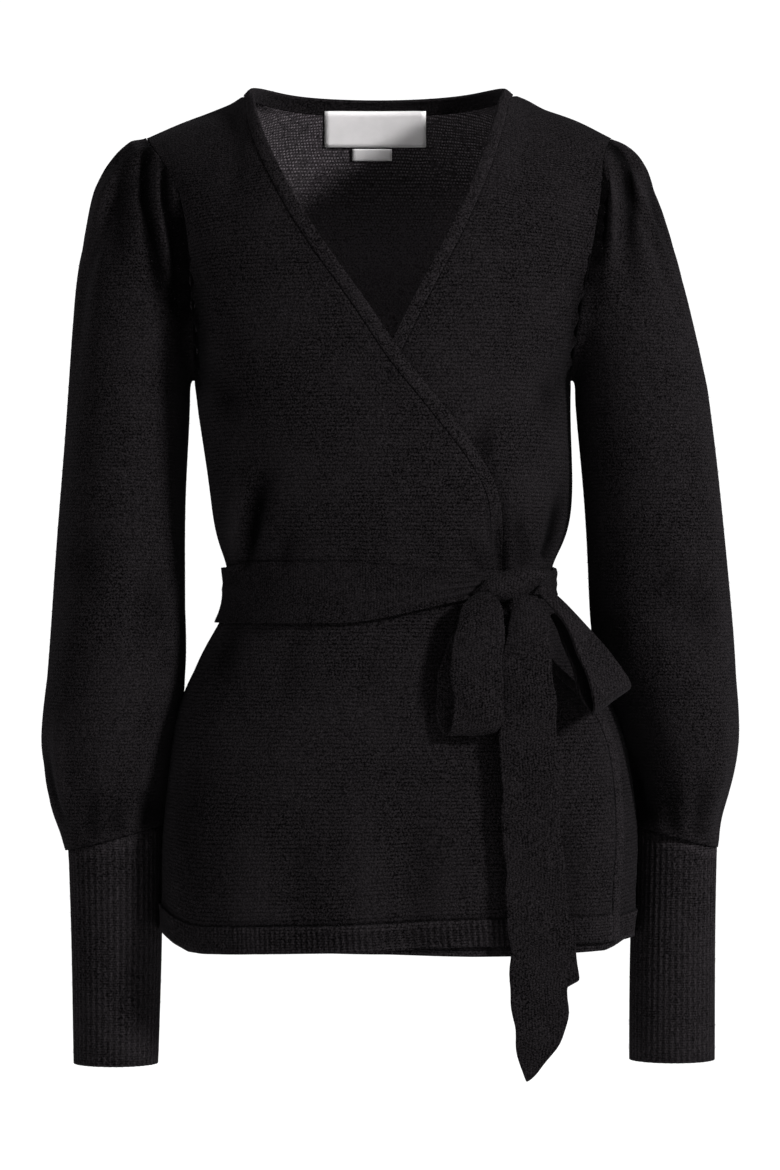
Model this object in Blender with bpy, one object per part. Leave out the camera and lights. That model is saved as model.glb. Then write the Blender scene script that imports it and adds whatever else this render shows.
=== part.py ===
"""Wrap cardigan in a fine soft knit, filled out as worn, with nobody in it.

Metres, +Z up. The front of the garment faces -Y and its left side, as it is seen from there,
is at -X. The origin is midway between the two high points of the shoulders.
Every size below is in millimetres and is turned into metres when a mesh is made.
"""

import math

import bpy
import numpy as np

MM = 0.001
GAP = 0.3  # between two sewn pieces
WALL = 2.4  # one layer of the knit
UNDERARM = -217.0
HEM_TOP = -602.0
HEM = -620.0
BAND_WIDTH = 9.0
BAND_ROLL = 1.1  # how far the rolled edge stands proud of its panel
LAP = 2.1  # how far each front leaves the body's surface where the two lie on each other
LEFT = -1
RIGHT = 1
FRONT = -1
BACK = 1


def table(columns, *rows):
    """A table as a dictionary of columns, from the highest row down."""
    values = np.array(rows, float)
    return {name: values[:, i] for i, name in enumerate(columns.split())}


def read(rows, column, at, key="height"):
    """A smooth reading of one column at a height, or at any other key."""
    keys, values = rows[key], rows[column]
    if keys[0] > keys[-1]:
        keys, values = keys[::-1], values[::-1]
    at = min(max(at, keys[0]), keys[-1])
    i = int(min(max(np.searchsorted(keys, at, "right") - 1, 0), len(keys) - 2))
    steps = np.diff(keys)
    slopes = np.diff(values) / steps

    def tangent(j):
        if j == 0:
            return slopes[0]
        if j == len(keys) - 1:
            return slopes[-1]
        if slopes[j - 1] * slopes[j] <= 0:
            return 0.0
        return 2 * slopes[j - 1] * slopes[j] / (slopes[j - 1] + slopes[j])

    s = (at - keys[i]) / steps[i]
    return float(
        values[i] * (1 + 2 * s) * (1 - s) ** 2
        + steps[i] * tangent(i) * s * (1 - s) ** 2
        + values[i + 1] * s * s * (3 - 2 * s)
        + steps[i] * tangent(i + 1) * s * s * (s - 1)
    )


def ease(a, b, x):
    """0 up to a and 1 from b on, with a soft step between them."""
    s = min(max((x - a) / (b - a), 0.0), 1.0)
    return s * s * (3 - 2 * s)


# The body's level sections: where their middle lies, their half width, and their depth in front and behind.
# Above the underarm they are wider than the panels, which end at the armholes.
BODY = table(
    "height middle half_width front back",
    (30, -6, 206, 100, 92),
    (-40, -6, 203, 100, 92),
    (-67, -3, 195, 102, 93),
    (-111, 1, 169, 105, 95),
    (-150, 0, 159, 108, 97),
    (-195, -3, 143, 112, 99),
    (-217, -4, 137, 113, 100),
    (-264, 0, 134, 111, 96),
    (-301, 3, 132, 106, 90),
    (-323, 3, 129.5, 100, 86),
    (-337, 2, 124, 94, 83),
    (-350, 1, 117.5, 90, 80),
    (-366, 1, 117, 89, 80),
    (-385, 1.5, 121, 91, 82),
    (-396, 2.5, 129, 94, 86),
    (-425, 3, 145, 100, 94),
    (-454, 6.5, 157, 104, 100),
    (-483, 9, 164, 107, 105),
    (-520, 9.5, 168.5, 109, 108),
    (-560, 9.5, 170, 110, 109),
    (-600, 8.5, 171, 110, 109),
    (-630, 7, 170, 110, 108),
)
SECTION_POWER = 2.3  # 2 would be an ellipse
SHOULDER_ROUND = {FRONT: 140.0, BACK: 115.0}  # how far below its top the shoulder still curves

# The line of the shoulders, from one sleeve head over the neck to the other.
SHOULDER = table(
    "across height",
    (-200, -47),
    (-176, -37),
    (-152, -26.5),
    (-124, -16),
    (-108, -9.5),
    (-100, 0),
    (-88, 9),
    (-8, 30),
    (75, 9),
    (87, 0),
    (95, -9.5),
    (114, -16),
    (137, -24),
    (163, -37),
    (190, -50),
)
TIP = {LEFT: -176.0, RIGHT: 163.0}  # where the shoulder seam meets the sleeve
NECK_POINT = {LEFT: -107.4, RIGHT: 94.4}  # where it meets the neck band

# The armhole seams as they are seen from the front.
ARMHOLE = {
    LEFT: table(
        "height across",
        (-37, -176),
        (-45, -171),
        (-55, -164),
        (-69, -155),
        (-88, -147.5),
        (-116, -143),
        (-155, -141.5),
        (-195, -141),
        (-217, -141),
    ),
    RIGHT: table(
        "height across",
        (-37, 163),
        (-45, 158.5),
        (-55, 155),
        (-69, 154),
        (-88, 152),
        (-116, 147.5),
        (-155, 141),
        (-195, 135.5),
        (-217, 133),
    ),
}

# The finished front edges. The wearer's right front starts at the left and laps over the other.
TOP_EDGE = table(
    "height across",
    (4, -99.5),
    (-14, -97),
    (-69, -76),
    (-128, -41),
    (-162, -15),
    (-200, 8.5),
    (-216, 22.5),
    (-233, 37),
    (-252, 51),
    (-270, 65),
    (-290, 78),
    (-312, 81.5),
    (-350, 82),
    (-385, 86),
    (-415, 115),
    (-445, 145),
    (-472, 160),
    (-500, 163),
    (-620, 163),
)
UNDER_EDGE = table(
    "height across",
    (4, 87),
    (-14, 81),
    (-33, 75.5),
    (-69, 63),
    (-117, 41.5),
    (-143, 25),
    (-190, 4),
    (-216, -12),
    (-252, -40),
    (-290, -68),
    (-312, -77),
    (-350, -80),
    (-385, -84),
    (-415, -110),
    (-445, -132),
    (-472, -142),
    (-500, -146),
    (-620, -147),
)
BACK_RIM = table(
    "across height",
    (-101, 0.8),
    (-79, -3.4),
    (-50, -5),
    (-6, -5.5),
    (31, -5),
    (67, -3),
    (88.5, 0.8),
)

# Steps from the shoulder (0) to the underarm (1), close together where the sleeve head is pleated.
YOKE_STEPS = (0, 0.018, 0.05, 0.1, 0.165, 0.25, 0.38, 0.55, 0.75, 0.92, 1)
LOWER_HEIGHTS = (-252, -290, -318, -336, -350, -370, -386, -402, -422, -446, -480, -540, HEM_TOP)
FRONT_COLUMNS = 12
SHOULDER_COLUMNS = 3
NECK_COLUMNS = 8


def shoulder_height(across):
    return read(SHOULDER, "height", across, "across")


def depth(across, height, side):
    """How far the body's surface stands from the middle plane, in front (-1) or behind (1)."""
    u = abs(across - read(BODY, "middle", height)) / read(BODY, "half_width", height)
    level = max(1 - u**SECTION_POWER, 0.0) ** (1 / SECTION_POWER)
    drop = (shoulder_height(across) - height) / SHOULDER_ROUND[side]
    top = math.sqrt(max(1 - (1 - min(max(drop, 0.0), 1.0)) ** 2, 0.0))
    return side * read(BODY, "front" if side == FRONT else "back", height) * level * top


def on_body(across, height, side):
    """A point of the body's surface, kept half a seam from the middle plane."""
    forward = depth(across, height, side)
    if abs(forward) < GAP / 2:
        forward = side * GAP / 2
    return np.array([across, forward, height])


def outward(across, height, side):
    """The direction straight out of the body's surface."""
    drop = shoulder_height(across) - height
    if drop < 0.05:
        slope = (shoulder_height(across + 1) - shoulder_height(across - 1)) / 2
        return np.array([-slope, 0, 1]) / math.hypot(slope, 1)
    power = SECTION_POWER
    y = abs(depth(across, height, side))
    column = "front" if side == FRONT else "back"

    def level(x, forward, z):
        u = abs(x - read(BODY, "middle", z)) / read(BODY, "half_width", z)
        fall = min(max((shoulder_height(x) - z) / SHOULDER_ROUND[side], 0.0), 1.0)
        top = max(1 - (1 - fall) ** 2, 0.0) ** (power / 2)
        return (forward / read(BODY, column, z)) ** power - (1 - u**power) * top

    step = 0.02
    here = level(across, y, height)
    slope_x = level(across + step, y, height) - level(across - step, y, height)
    slope_y = 2 * (level(across, y + step, height) - here)
    slope_z = level(across, y, height + step) - level(across, y, height - step)
    direction = np.array([slope_x, side * slope_y, slope_z])
    return direction / np.linalg.norm(direction)


def angle_of(across, height):
    """Where a point lies round its section: 0 at the right side, 180 at the left one."""
    u = (across - read(BODY, "middle", height)) / read(BODY, "half_width", height)
    u = min(max(u, -1.0), 1.0)
    return math.degrees(math.acos(math.copysign(abs(u) ** (SECTION_POWER / 2), u)))


def across_at(angle, height):
    c = math.cos(math.radians(angle))
    u = math.copysign(abs(c) ** (2 / SECTION_POWER), c)
    return read(BODY, "middle", height) + read(BODY, "half_width", height) * u


def slide(across, height, side, distance):
    """The place that lies a distance along the level section from a point."""
    steps = 12
    for _ in range(steps):
        ahead = across + math.copysign(0.5, distance)
        rise = (depth(ahead, height, side) - depth(across, height, side)) / 0.5
        across += distance / steps / math.hypot(1, rise)
    return across


def add_object(name, points, faces, colour, sharp=40):
    """One closed mesh, from points in millimetres, with its own knit or woven material."""
    mesh = bpy.data.meshes.new(name)
    mesh.from_pydata([tuple(float(v) * MM for v in p) for p in points], [], faces)
    mesh.validate()
    mesh.shade_smooth()
    mesh.set_sharp_from_angle(angle=math.radians(sharp))
    material = bpy.data.materials.new(name + "_finish")
    material.use_nodes = True
    shader = material.node_tree.nodes["Principled BSDF"]
    shader.inputs["Base Color"].default_value = (*colour, 1)
    shader.inputs["Roughness"].default_value = 0.9
    shader.inputs["Metallic"].default_value = 0
    mesh.materials.append(material)
    piece = bpy.data.objects.new(name, mesh)
    bpy.context.scene.collection.objects.link(piece)
    return piece


KNIT = (0.035, 0.034, 0.038)
LABEL = (0.85, 0.85, 0.84)


def halves(points, corners):
    """Two triangles for a four-cornered face, cut along its shorter diagonal."""
    a, b, c, d = corners
    if np.linalg.norm(points[a] - points[c]) < np.linalg.norm(points[b] - points[d]):
        return [(a, b, c), (a, c, d)]
    return [(a, b, d), (b, c, d)]


def shell(name, outer, inner, colour=KNIT, closed=False):
    """A wall between two grids of points, each a list of rows. Closed rows go all round.

    Seen from outside, rows run downward and columns run to the right.
    """
    outer, inner = np.array(outer), np.array(inner)
    rows, columns = outer.shape[:2]
    points = [p for row in outer for p in row] + [p for row in inner for p in row]
    shift = rows * columns
    spans = columns if closed else columns - 1
    faces = []
    for r in range(rows - 1):
        for c in range(spans):
            a, b = r * columns + c, r * columns + (c + 1) % columns
            faces += halves(points, (a, a + columns, b + columns, b))
            faces += halves(points, (shift + a, shift + b, shift + b + columns, shift + a + columns))
    for c in range(spans):
        a, b = c, (c + 1) % columns
        faces.append((a, b, shift + b, shift + a))
        a, b = a + (rows - 1) * columns, b + (rows - 1) * columns
        faces.append((b, a, shift + a, shift + b))
    if not closed:
        for r in range(rows - 1):
            a, b = r * columns, (r + 1) * columns
            faces.append((b, a, shift + a, shift + b))
            a, b = a + columns - 1, b + columns - 1
            faces.append((a, b, shift + b, shift + a))
    return add_object(name, points, faces, colour)


# The two fronts and the back


def edge_slant(which, height):
    """How much longer a level step over a front's edge is than a straight one."""
    edge = TOP_EDGE if which == LEFT else UNDER_EDGE
    above, below = read(edge, "across", height + 2), read(edge, "across", height - 2)
    return math.hypot(1, (above - below) / 4)


def front_edge(which, height):
    """Where a front's own cloth ends and its edge band begins."""
    edge = TOP_EDGE if which == LEFT else UNDER_EDGE
    width = BAND_WIDTH * edge_slant(which, height)
    return slide(read(edge, "across", height), height, FRONT, which * width)


def lap(which, share, across, height):
    """How far a front lies out of the body's surface. The share is 0 at its edge and 1 at its side."""
    drop = shoulder_height(across) - height
    return -which * LAP * (1 - ease(0.87, 1, share)) * ease(0, 60, drop)


def armhole_height(which, step):
    top = shoulder_height(TIP[which])
    return top + step * (UNDERARM - top)


def front_places(which):
    """The grid of places of one front, as (across, height, share of the way to its side)."""
    side_angle = 180 if which == LEFT else 0
    shares = [i / FRONT_COLUMNS for i in range(FRONT_COLUMNS + 1)]

    def level_row(height):
        start = angle_of(front_edge(which, height), height)
        return [across_at(start + s * (side_angle - start), height) for s in shares]

    low_row = level_row(UNDERARM)
    grid = []
    for step in YOKE_STEPS[:-1]:
        row = []
        neck_top = shoulder_height(NECK_POINT[which])
        neck_height = neck_top + step * (UNDERARM - neck_top)
        arm_height = armhole_height(which, step)
        start = NECK_POINT[which] if step == 0 else front_edge(which, neck_height)
        end = read(ARMHOLE[which], "across", arm_height)
        for i, s in enumerate(shares):
            low = (low_row[i] - low_row[0]) / (low_row[-1] - low_row[0])
            across = start + ((1 - step) * s + step * low) * (end - start)
            top = shoulder_height(NECK_POINT[which] + s * (TIP[which] - NECK_POINT[which]))
            height = top + step * (UNDERARM - top)
            if step == 0:
                height = shoulder_height(across)
            row.append((across, height, s))
        grid.append(row)
    for height in (UNDERARM, *LOWER_HEIGHTS):
        grid.append([(x, height, s) for x, s in zip(level_row(height), shares)])
    return grid


def lifted(place, side, which=None, proud=0.0, wall=WALL):
    """The outer and the inner point of the wall at a place."""
    across, height = place[:2]
    normal = outward(across, height, side)
    out = proud
    if which is not None:
        out += lap(which, place[2], across, height)
    outer = on_body(across, height, side) + out * normal
    return outer, outer - (wall + proud) * normal


def panel(name, places, side, which=None):
    outer, inner = [], []
    for row in places:
        pairs = [lifted(place, side, which) for place in row]
        outer.append([p[0] for p in pairs])
        inner.append([p[1] for p in pairs])
    facing_right = places[0][0][0] < places[0][-1][0]
    if facing_right != (side == FRONT):
        outer = [row[::-1] for row in outer]
        inner = [row[::-1] for row in inner]
    return shell(name, outer, inner)


def back_places():
    """The grid of places of the back, from the left armhole to the right one."""
    left_tip, right_tip = TIP[LEFT], TIP[RIGHT]
    top = [
        left_tip + (NECK_POINT[LEFT] - left_tip) * i / SHOULDER_COLUMNS
        for i in range(SHOULDER_COLUMNS)
    ]
    reach = NECK_POINT[RIGHT] - NECK_POINT[LEFT]
    top += [NECK_POINT[LEFT] + reach * i / NECK_COLUMNS for i in range(NECK_COLUMNS)]
    top += [
        NECK_POINT[RIGHT] + (right_tip - NECK_POINT[RIGHT]) * i / SHOULDER_COLUMNS
        for i in range(SHOULDER_COLUMNS + 1)
    ]
    shares = [(x - left_tip) / (right_tip - left_tip) for x in top]
    count = len(top) - 1

    def level_row(height):
        return [across_at(180 * (1 - i / count), height) for i in range(count + 1)]

    low_row = level_row(UNDERARM)
    grid = []
    for step in YOKE_STEPS[:-1]:
        start = read(ARMHOLE[LEFT], "across", armhole_height(LEFT, step))
        end = read(ARMHOLE[RIGHT], "across", armhole_height(RIGHT, step))
        row = []
        for i, x in enumerate(top):
            low = (low_row[i] - low_row[0]) / (low_row[-1] - low_row[0])
            across = start + ((1 - step) * shares[i] + step * low) * (end - start)
            neck = NECK_POINT[LEFT] + 0.5 < x < NECK_POINT[RIGHT] - 0.5
            highest = back_neck_height(x) if neck else shoulder_height(x)
            row.append((across, highest + step * (UNDERARM - highest)))
        grid.append(row)
    for height in (UNDERARM, *LOWER_HEIGHTS):
        grid.append([(x, height) for x in level_row(height)])
    return grid


def back_neck_height(across):
    """Where the back's own cloth ends under the neck band."""
    return read(BACK_RIM, "height", across, "across") - BAND_WIDTH


# The ribbed hems


HEM_RIB = 3.6  # from one rib to the next
HEM_RIB_OUT = 0.7
RIBS_A_SPAN = 5  # ribs between two points of the plain inside
UNDER_HIDDEN = 0.8  # the share of the under front's hem that the other front covers


def rib_wall(name, outer, inner, each, colour=KNIT, closed=False):
    """A wall with fine columns outside and coarse ones inside, joined along its ends.

    Each says how many fine columns lie over each coarse one.
    """
    outer, inner = np.array(outer), np.array(inner)
    rows, fine = outer.shape[:2]
    low, coarse = inner.shape[:2]
    fine_spans, coarse_spans = (fine, coarse) if closed else (fine - 1, coarse - 1)
    starts = [sum(each[:c]) for c in range(coarse_spans)]
    points = [p for row in outer for p in row] + [p for row in inner for p in row]
    shift = rows * fine
    faces = []
    for r in range(rows - 1):
        for c in range(fine_spans):
            a, b = r * fine + c, r * fine + (c + 1) % fine
            faces.append((a, a + fine, b + fine, b))
    for r in range(low - 1):
        for c in range(coarse_spans):
            a, b = shift + r * coarse + c, shift + r * coarse + (c + 1) % coarse
            faces.append((a, b, b + coarse, a + coarse))
    last_outer, last_inner = (rows - 1) * fine, shift + (low - 1) * coarse
    for c in range(coarse_spans):
        here, there = shift + c, shift + (c + 1) % coarse
        rim = [(starts[c] + i) % fine for i in range(each[c] + 1)]
        half = each[c] // 2
        for i in range(each[c]):
            corner = here if i < half else there
            faces.append((rim[i], rim[i + 1], corner))
        faces.append((rim[half], there, here))
        here, there = last_inner + c, last_inner + (c + 1) % coarse
        rim = [last_outer + i for i in rim]
        for i in range(each[c]):
            corner = here if i < half else there
            faces.append((rim[i + 1], rim[i], corner))
        faces.append((there, rim[half], here))
    if not closed:
        faces.append([r * fine for r in range(rows)][::-1] + [shift + r * coarse for r in range(low)])
        ends = [r * fine + fine - 1 for r in range(rows)]
        faces.append(ends + [shift + r * coarse + coarse - 1 for r in range(low)][::-1])
    return add_object(name, points, faces, colour)


def hem(name, side, end, which=None, plain_to=0.0):
    """The rib of one panel's hem, from its edge or left side to an angle, with each rib raised outside."""

    def first_angle(height):
        return 180 if which is None else angle_of(front_edge(which, height), height)

    middle = (HEM_TOP + HEM) / 2
    start = first_angle(middle)
    ring = [on_body(across_at(start + (end - start) * i / 60, middle), middle, side) for i in range(61)]
    length = sum(np.linalg.norm(b - a) for a, b in zip(ring, ring[1:]))
    spans = max(round(length / HEM_RIB / RIBS_A_SPAN), 2)
    each = [2 if (s + 1) / spans < plain_to else 2 * RIBS_A_SPAN for s in range(spans)]
    outer, inner = [], []
    for height in (HEM_TOP - GAP, HEM):
        start = first_angle(height)
        fine, coarse = [], []
        for s in range(spans):
            last = s == spans - 1
            for i in range(each[s] + last):
                share = (s + i / each[s]) / spans
                place = (across_at(start + (end - start) * share, height), height, share)
                point, under = lifted(place, side, which)
                raised = HEM_RIB_OUT if i % 2 and each[s] > 2 else 0.0
                fine.append(point + (point - under) / WALL * raised)
                if i in (0, each[s]):
                    coarse.append(under)
        outer.append(fine)
        inner.append(coarse)
    facing_right = outer[0][0][0] < outer[0][-1][0]
    if facing_right != (side == FRONT):
        outer = [row[::-1] for row in outer]
        inner = [row[::-1] for row in inner]
        each = each[::-1]
    return rib_wall(name, outer, inner, each)


# The neck band


def band_rows():
    """Rows of the band from the left front's hem over the neck to the right front's hem.

    A row has the place at the panel, the place at the finished edge, its side and its lap.
    """
    rows = []
    for which in (LEFT, RIGHT):
        edge = TOP_EDGE if which == LEFT else UNDER_EDGE
        heights = [row[0][1] for row in front_places(which)[1:]] + [HEM]
        part = []
        for height in heights[::-1]:
            joint = (front_edge(which, height) - which * GAP * edge_slant(which, height), height)
            part.append((joint, (read(edge, "across", height), height), FRONT, which))
        rows.append(part)
    neck = []
    corners = (NECK_POINT[LEFT], NECK_POINT[RIGHT])
    rims = (BACK_RIM["across"][0], BACK_RIM["across"][-1])
    for i in range(NECK_COLUMNS + 1):
        s = i / NECK_COLUMNS
        joint = corners[0] + s * (corners[1] - corners[0])
        rim = rims[0] + s * (rims[1] - rims[0])
        rim_height = read(BACK_RIM, "height", rim, "across")
        place = (joint, back_neck_height(joint) + GAP)
        if i in (0, NECK_COLUMNS):
            joint += GAP if i == 0 else -GAP
            place = (joint, shoulder_height(joint))
        neck.append((place, (rim, rim_height), BACK, None))
    return rows[0] + neck + rows[1][::-1]


def band_shows(which, height):
    """0 where the band lies under the belt or the other front, and 1 where it rolls freely."""
    if which == RIGHT:
        return ease(-186, -160, height)
    if which == LEFT:
        return ease(-346, -330, height) + ease(402, 420, -height)
    return 1.0


def neck_band():
    outer, inner = [], []
    across = 4
    for joint, edge, side, which in band_rows():
        row_out, row_in = [], []
        for i in range(across):
            s = i / (across - 1)
            x = joint[0] + s * (edge[0] - joint[0])
            z = joint[1] + s * (edge[1] - joint[1])
            z = min(z, shoulder_height(x))
            normal = outward(x, z, side)
            base = on_body(x, z, side)
            if which is not None:
                base = base + lap(which, 0, x, z) * normal
            roll = BAND_ROLL * math.sin(math.pi * (0.15 + 0.7 * s)) * band_shows(which, z)
            row_out.append(base + roll * normal)
            row_in.append(base - WALL * normal)
        outer.append(row_out)
        inner.append(row_in)
    return shell("neck_band", outer[::-1], inner[::-1])


# The sleeves

SLEEVE_WALL = 2.2
LOOP_GAP = 0.35  # from the armhole's edge to the first ring of the sleeve

# Level sections of each sleeve: middle, half width, middle from front to back, half depth.
SLEEVE = {
    LEFT: table(
        "height middle half_width forward half_depth",
        (-150, -187.5, 41, 0, 52),
        (-220, -188.5, 44.5, 0, 56),
        (-264, -190.8, 45.3, 0, 57),
        (-308, -193.9, 45.6, 1, 58),
        (-352, -196, 48, 2, 60),
        (-396, -196.7, 49.3, 2, 62),
        (-425, -198, 50, 1, 63),
        (-454, -202.4, 49.6, 0, 62),
        (-483, -204.8, 47.2, -2, 58),
        (-512, -205, 43.5, -3, 50),
        (-533, -202.5, 39, -4, 41),
        (-548, -200, 35.4, -4, 34),
        (-562, -199, 34.2, -4, 31.5),
    ),
    RIGHT: table(
        "height middle half_width forward half_depth",
        (-150, 180.5, 44, 0, 52),
        (-220, 184.4, 48.6, 0, 56),
        (-264, 189.4, 50, 1, 57),
        (-308, 194.2, 50.4, 3, 58),
        (-352, 197.2, 51, 6, 60),
        (-396, 200, 53, 8, 62),
        (-425, 203.6, 51.7, 10, 63),
        (-454, 210.9, 45.5, 12, 63),
        (-483, 216, 40.5, 14, 60),
        (-512, 215.5, 35, 16, 51),
        (-533, 212.4, 31, 18, 42),
        (-548, 211.2, 30.4, 19, 35),
        (-562, 210.6, 30.4, 20, 32),
    ),
}
# Where the cap becomes a tube, and the lower rings, as heights at the inner and the outer side.
CAP_END = (-229, -158)
TUBE_RINGS = ((-256, -206), (-298, -266), (-350, -336), (-400, -396))
LOW_RINGS = ((-440, -440), (-474, -478), (-502, -508), (-520, -530), (-530, -545), (-536.5, -555.5))
CUFF_TOP = (-536.8, -555.8)
CUFF_SEAM_MIDDLE = {LEFT: -201.0, RIGHT: 211.5}
CUFF_SEAM_HEIGHT = -546.0
CUFF_SEAM_SLOPE = 0.275  # how far the seam drops for each millimetre toward the outer side
CAP_SHARES = (0, 0.08, 0.19, 0.34, 0.53, 0.76, 1)

# Pleats sewn into each sleeve head: where they lie round the sleeve (90 is the front, 180 the outer side),
# how deep and how wide they are, and how far down they run, where 1 is the cap's end.
PLEATS = {
    LEFT: table(
        "at deep wide long",
        (116, 4.0, 5.5, 0.6),
        (132, 5.5, 6.0, 1.0),
        (148, 8.0, 6.5, 1.5),
        (169, 6.0, 6.5, 1.0),
        (192, 6.0, 6.5, 1.0),
        (211, 7.5, 6.5, 1.3),
        (229, 5.0, 6.0, 0.9),
    ),
    RIGHT: table(
        "at deep wide long",
        (136, 7.0, 6.5, 1.4),
        (161, 6.0, 6.5, 1.1),
        (190, 5.5, 6.5, 0.9),
        (209, 7.0, 6.5, 1.2),
        (228, 5.0, 6.0, 0.9),
    ),
}
# Soft gathers over the cuff: where, how deep, how wide.
GATHERS = {
    LEFT: table("at deep wide", (40, 4, 16), (112, 3, 16), (198, 6, 17), (262, 4, 18), (318, 4, 16)),
    RIGHT: table("at deep wide", (34, 7, 20), (95, 3, 16), (160, 4, 16), (235, 5, 18), (308, 4, 16)),
}


def near(angle, at, wide):
    off = (angle - at + 180) % 360 - 180
    return math.exp(-((off / wide) ** 2))


def tube_point(which, angle, inner_height, outer_height, rows=None):
    rows = SLEEVE[which] if rows is None else rows
    c, s = math.cos(math.radians(angle)), math.sin(math.radians(angle))
    height = inner_height * (1 + c) / 2 + outer_height * (1 - c) / 2
    across = read(rows, "middle", height) - which * read(rows, "half_width", height) * c
    forward = read(rows, "forward", height) - read(rows, "half_depth", height) * s
    return np.array([across, forward, height])


def cuff_seam(which, across):
    return CUFF_SEAM_HEIGHT - CUFF_SEAM_SLOPE * which * (across - CUFF_SEAM_MIDDLE[which])


def armhole_loop(which):
    """Outer and inner points of the armhole's edge, from the underarm up the front and down the back."""
    half = len(YOKE_STEPS)
    pairs = [lifted(row[-1], FRONT, which) for row in front_places(which)[:half][::-1]]
    pairs += [lifted(row[0 if which == LEFT else -1], BACK) for row in back_places()[:half]]
    outer, inner = [p[0] for p in pairs], [p[1] for p in pairs]

    def joined(points):
        tip = (points[half - 1] + points[half]) / 2
        under = (points[0] + points[-1]) / 2
        return [under] + points[1 : half - 1] + [tip] + points[half + 1 : -1]

    return joined(outer), joined(inner)


def finer(points):
    """The loop again, with a point halfway along each straight stretch."""
    result = []
    for a, b in zip(points, points[1:] + points[:1]):
        result += [a, (a + b) / 2]
    return result


def cap_lines(which):
    """For each column of the cap: start, inner start, first direction, and angle round the tube."""
    outer, inner = (finer(p) for p in armhole_loop(which))
    count = len(outer)
    lengths = [np.linalg.norm(outer[(i + 1) % count] - outer[i]) for i in range(count)]
    half = count // 2
    run = np.concatenate([[0], np.cumsum(lengths)])
    lines = []
    for i in range(count):
        if i <= half:
            angle = 180 * run[i] / run[half]
        else:
            angle = 180 + 180 * (run[i] - run[half]) / (run[count] - run[half])
        along = outer[(i + 1) % count] - outer[i - 1]
        along = along / np.linalg.norm(along)
        wall = outer[i] - inner[i]
        normal = wall / np.linalg.norm(wall)
        away = np.cross(along, normal) * which
        away = away / np.linalg.norm(away)
        lines.append((outer[i] + LOOP_GAP * away, inner[i] + LOOP_GAP * away, away, normal, angle))
    return lines


def pleat_depth(which, angle, share):
    """How deep the pleats cut at a place, where the share is 0 at the seam and 1 at the cap's end."""
    rows = PLEATS[which]
    total = 0.0
    for at, deep, wide, long in zip(rows["at"], rows["deep"], rows["wide"], rows["long"]):
        run = ease(0, 0.14, share) * (1 - ease(0.25 * long, long, share))
        total += deep * near(angle, at, wide * (1 + 0.6 * share)) * run
    return total


def cap_row(which, lines, share):
    row = []
    for start, _, away, normal, angle in lines:
        end = tube_point(which, angle, *CAP_END)
        top = (1 - math.cos(math.radians(angle))) / 2
        side = abs(math.sin(math.radians(angle)))
        rise = 0.25 + 0.6 * side + 0.9 * (1 - top) ** 3
        first = (away + rise * normal) / math.hypot(1, rise)
        reach = 14 + 88 * top**1.5 + 14 * side
        drop = 14 + 113 * top + 16 * side
        s = share
        point = (
            start * (1 + 2 * s) * (1 - s) ** 2
            + first * reach * s * (1 - s) ** 2
            + end * s * s * (3 - 2 * s)
            + np.array([0, 0, drop]) * s * s * (1 - s)
        )
        row.append(point)
    return row


def grid_normals(grid):
    """Directions out of a grid that is closed round its columns."""
    grid = np.array(grid)
    along = np.roll(grid, -1, axis=1) - np.roll(grid, 1, axis=1)
    down = np.empty_like(grid)
    down[1:-1] = grid[2:] - grid[:-2]
    down[0], down[-1] = grid[1] - grid[0], grid[-1] - grid[-2]
    normal = np.cross(down, along)
    return normal / np.linalg.norm(normal, axis=2, keepdims=True)


def sleeve(name, which):
    lines = cap_lines(which)
    rings = [cap_row(which, lines, share) for share in CAP_SHARES]
    shares = list(CAP_SHARES)
    for i, ring in enumerate(TUBE_RINGS):
        rings.append([tube_point(which, line[4], *ring) for line in lines])
        shares.append(1 + 0.25 * (i + 1))
    normals = grid_normals(rings) * which
    grid = np.array(rings)
    for r, share in enumerate(shares):
        for c, line in enumerate(lines):
            grid[r, c] -= pleat_depth(which, line[4], share) * normals[r, c]
    normals = grid_normals(grid) * which
    inside = grid - SLEEVE_WALL * normals
    inside[0] = [line[1] for line in lines]

    low = []
    angles = [line[4] for line in lines]
    coarse = [angles[i] for i in range(0, len(angles), 2)]
    for i, ring in enumerate(LOW_RINGS):
        row = []
        fade = math.sin(math.pi * min(1, (i + 1) / len(LOW_RINGS)) ** 1.5)
        for angle in coarse:
            point = tube_point(which, angle, *ring)
            middle = np.array([read(SLEEVE[which], "middle", point[2]), point[1] * 0, point[2]])
            middle[1] = read(SLEEVE[which], "forward", point[2])
            inward = (middle - point) / np.linalg.norm(middle - point)
            rows = GATHERS[which]
            deep = sum(d * near(angle, at, w) for at, d, w in zip(rows["at"], rows["deep"], rows["wide"]))
            row.append(point + inward * deep * fade)
        low.append(row)
    joined = [grid[-1][::2]] + low
    low_normals = grid_normals(joined) * which
    low_inside = np.array(joined) - SLEEVE_WALL * low_normals
    low = np.array(low)
    for end in (low[-1], low_inside[-1]):
        end[:, 2] = cuff_seam(which, end[:, 0]) + GAP
    return sleeve_mesh(name, which, grid, inside, low, low_inside[1:])


def ring_faces(faces, a, b, count, flip):
    """Squares between two rings of as many points, from their first indices."""
    for c in range(count):
        d = (c + 1) % count
        face = (a + c, b + c, b + d, a + d)
        faces.append(face[::-1] if flip else face)


def halving_faces(faces, a, b, count, flip):
    """Triangles from a ring down to one of half as many points."""
    for c in range(count // 2):
        d = (c + 1) % (count // 2)
        one, two, three = a + 2 * c, a + 2 * c + 1, a + (2 * c + 2) % count
        for face in ((one, b + c, two), (two, b + c, b + d), (two, b + d, three)):
            faces.append(face[::-1] if flip else face)


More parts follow.
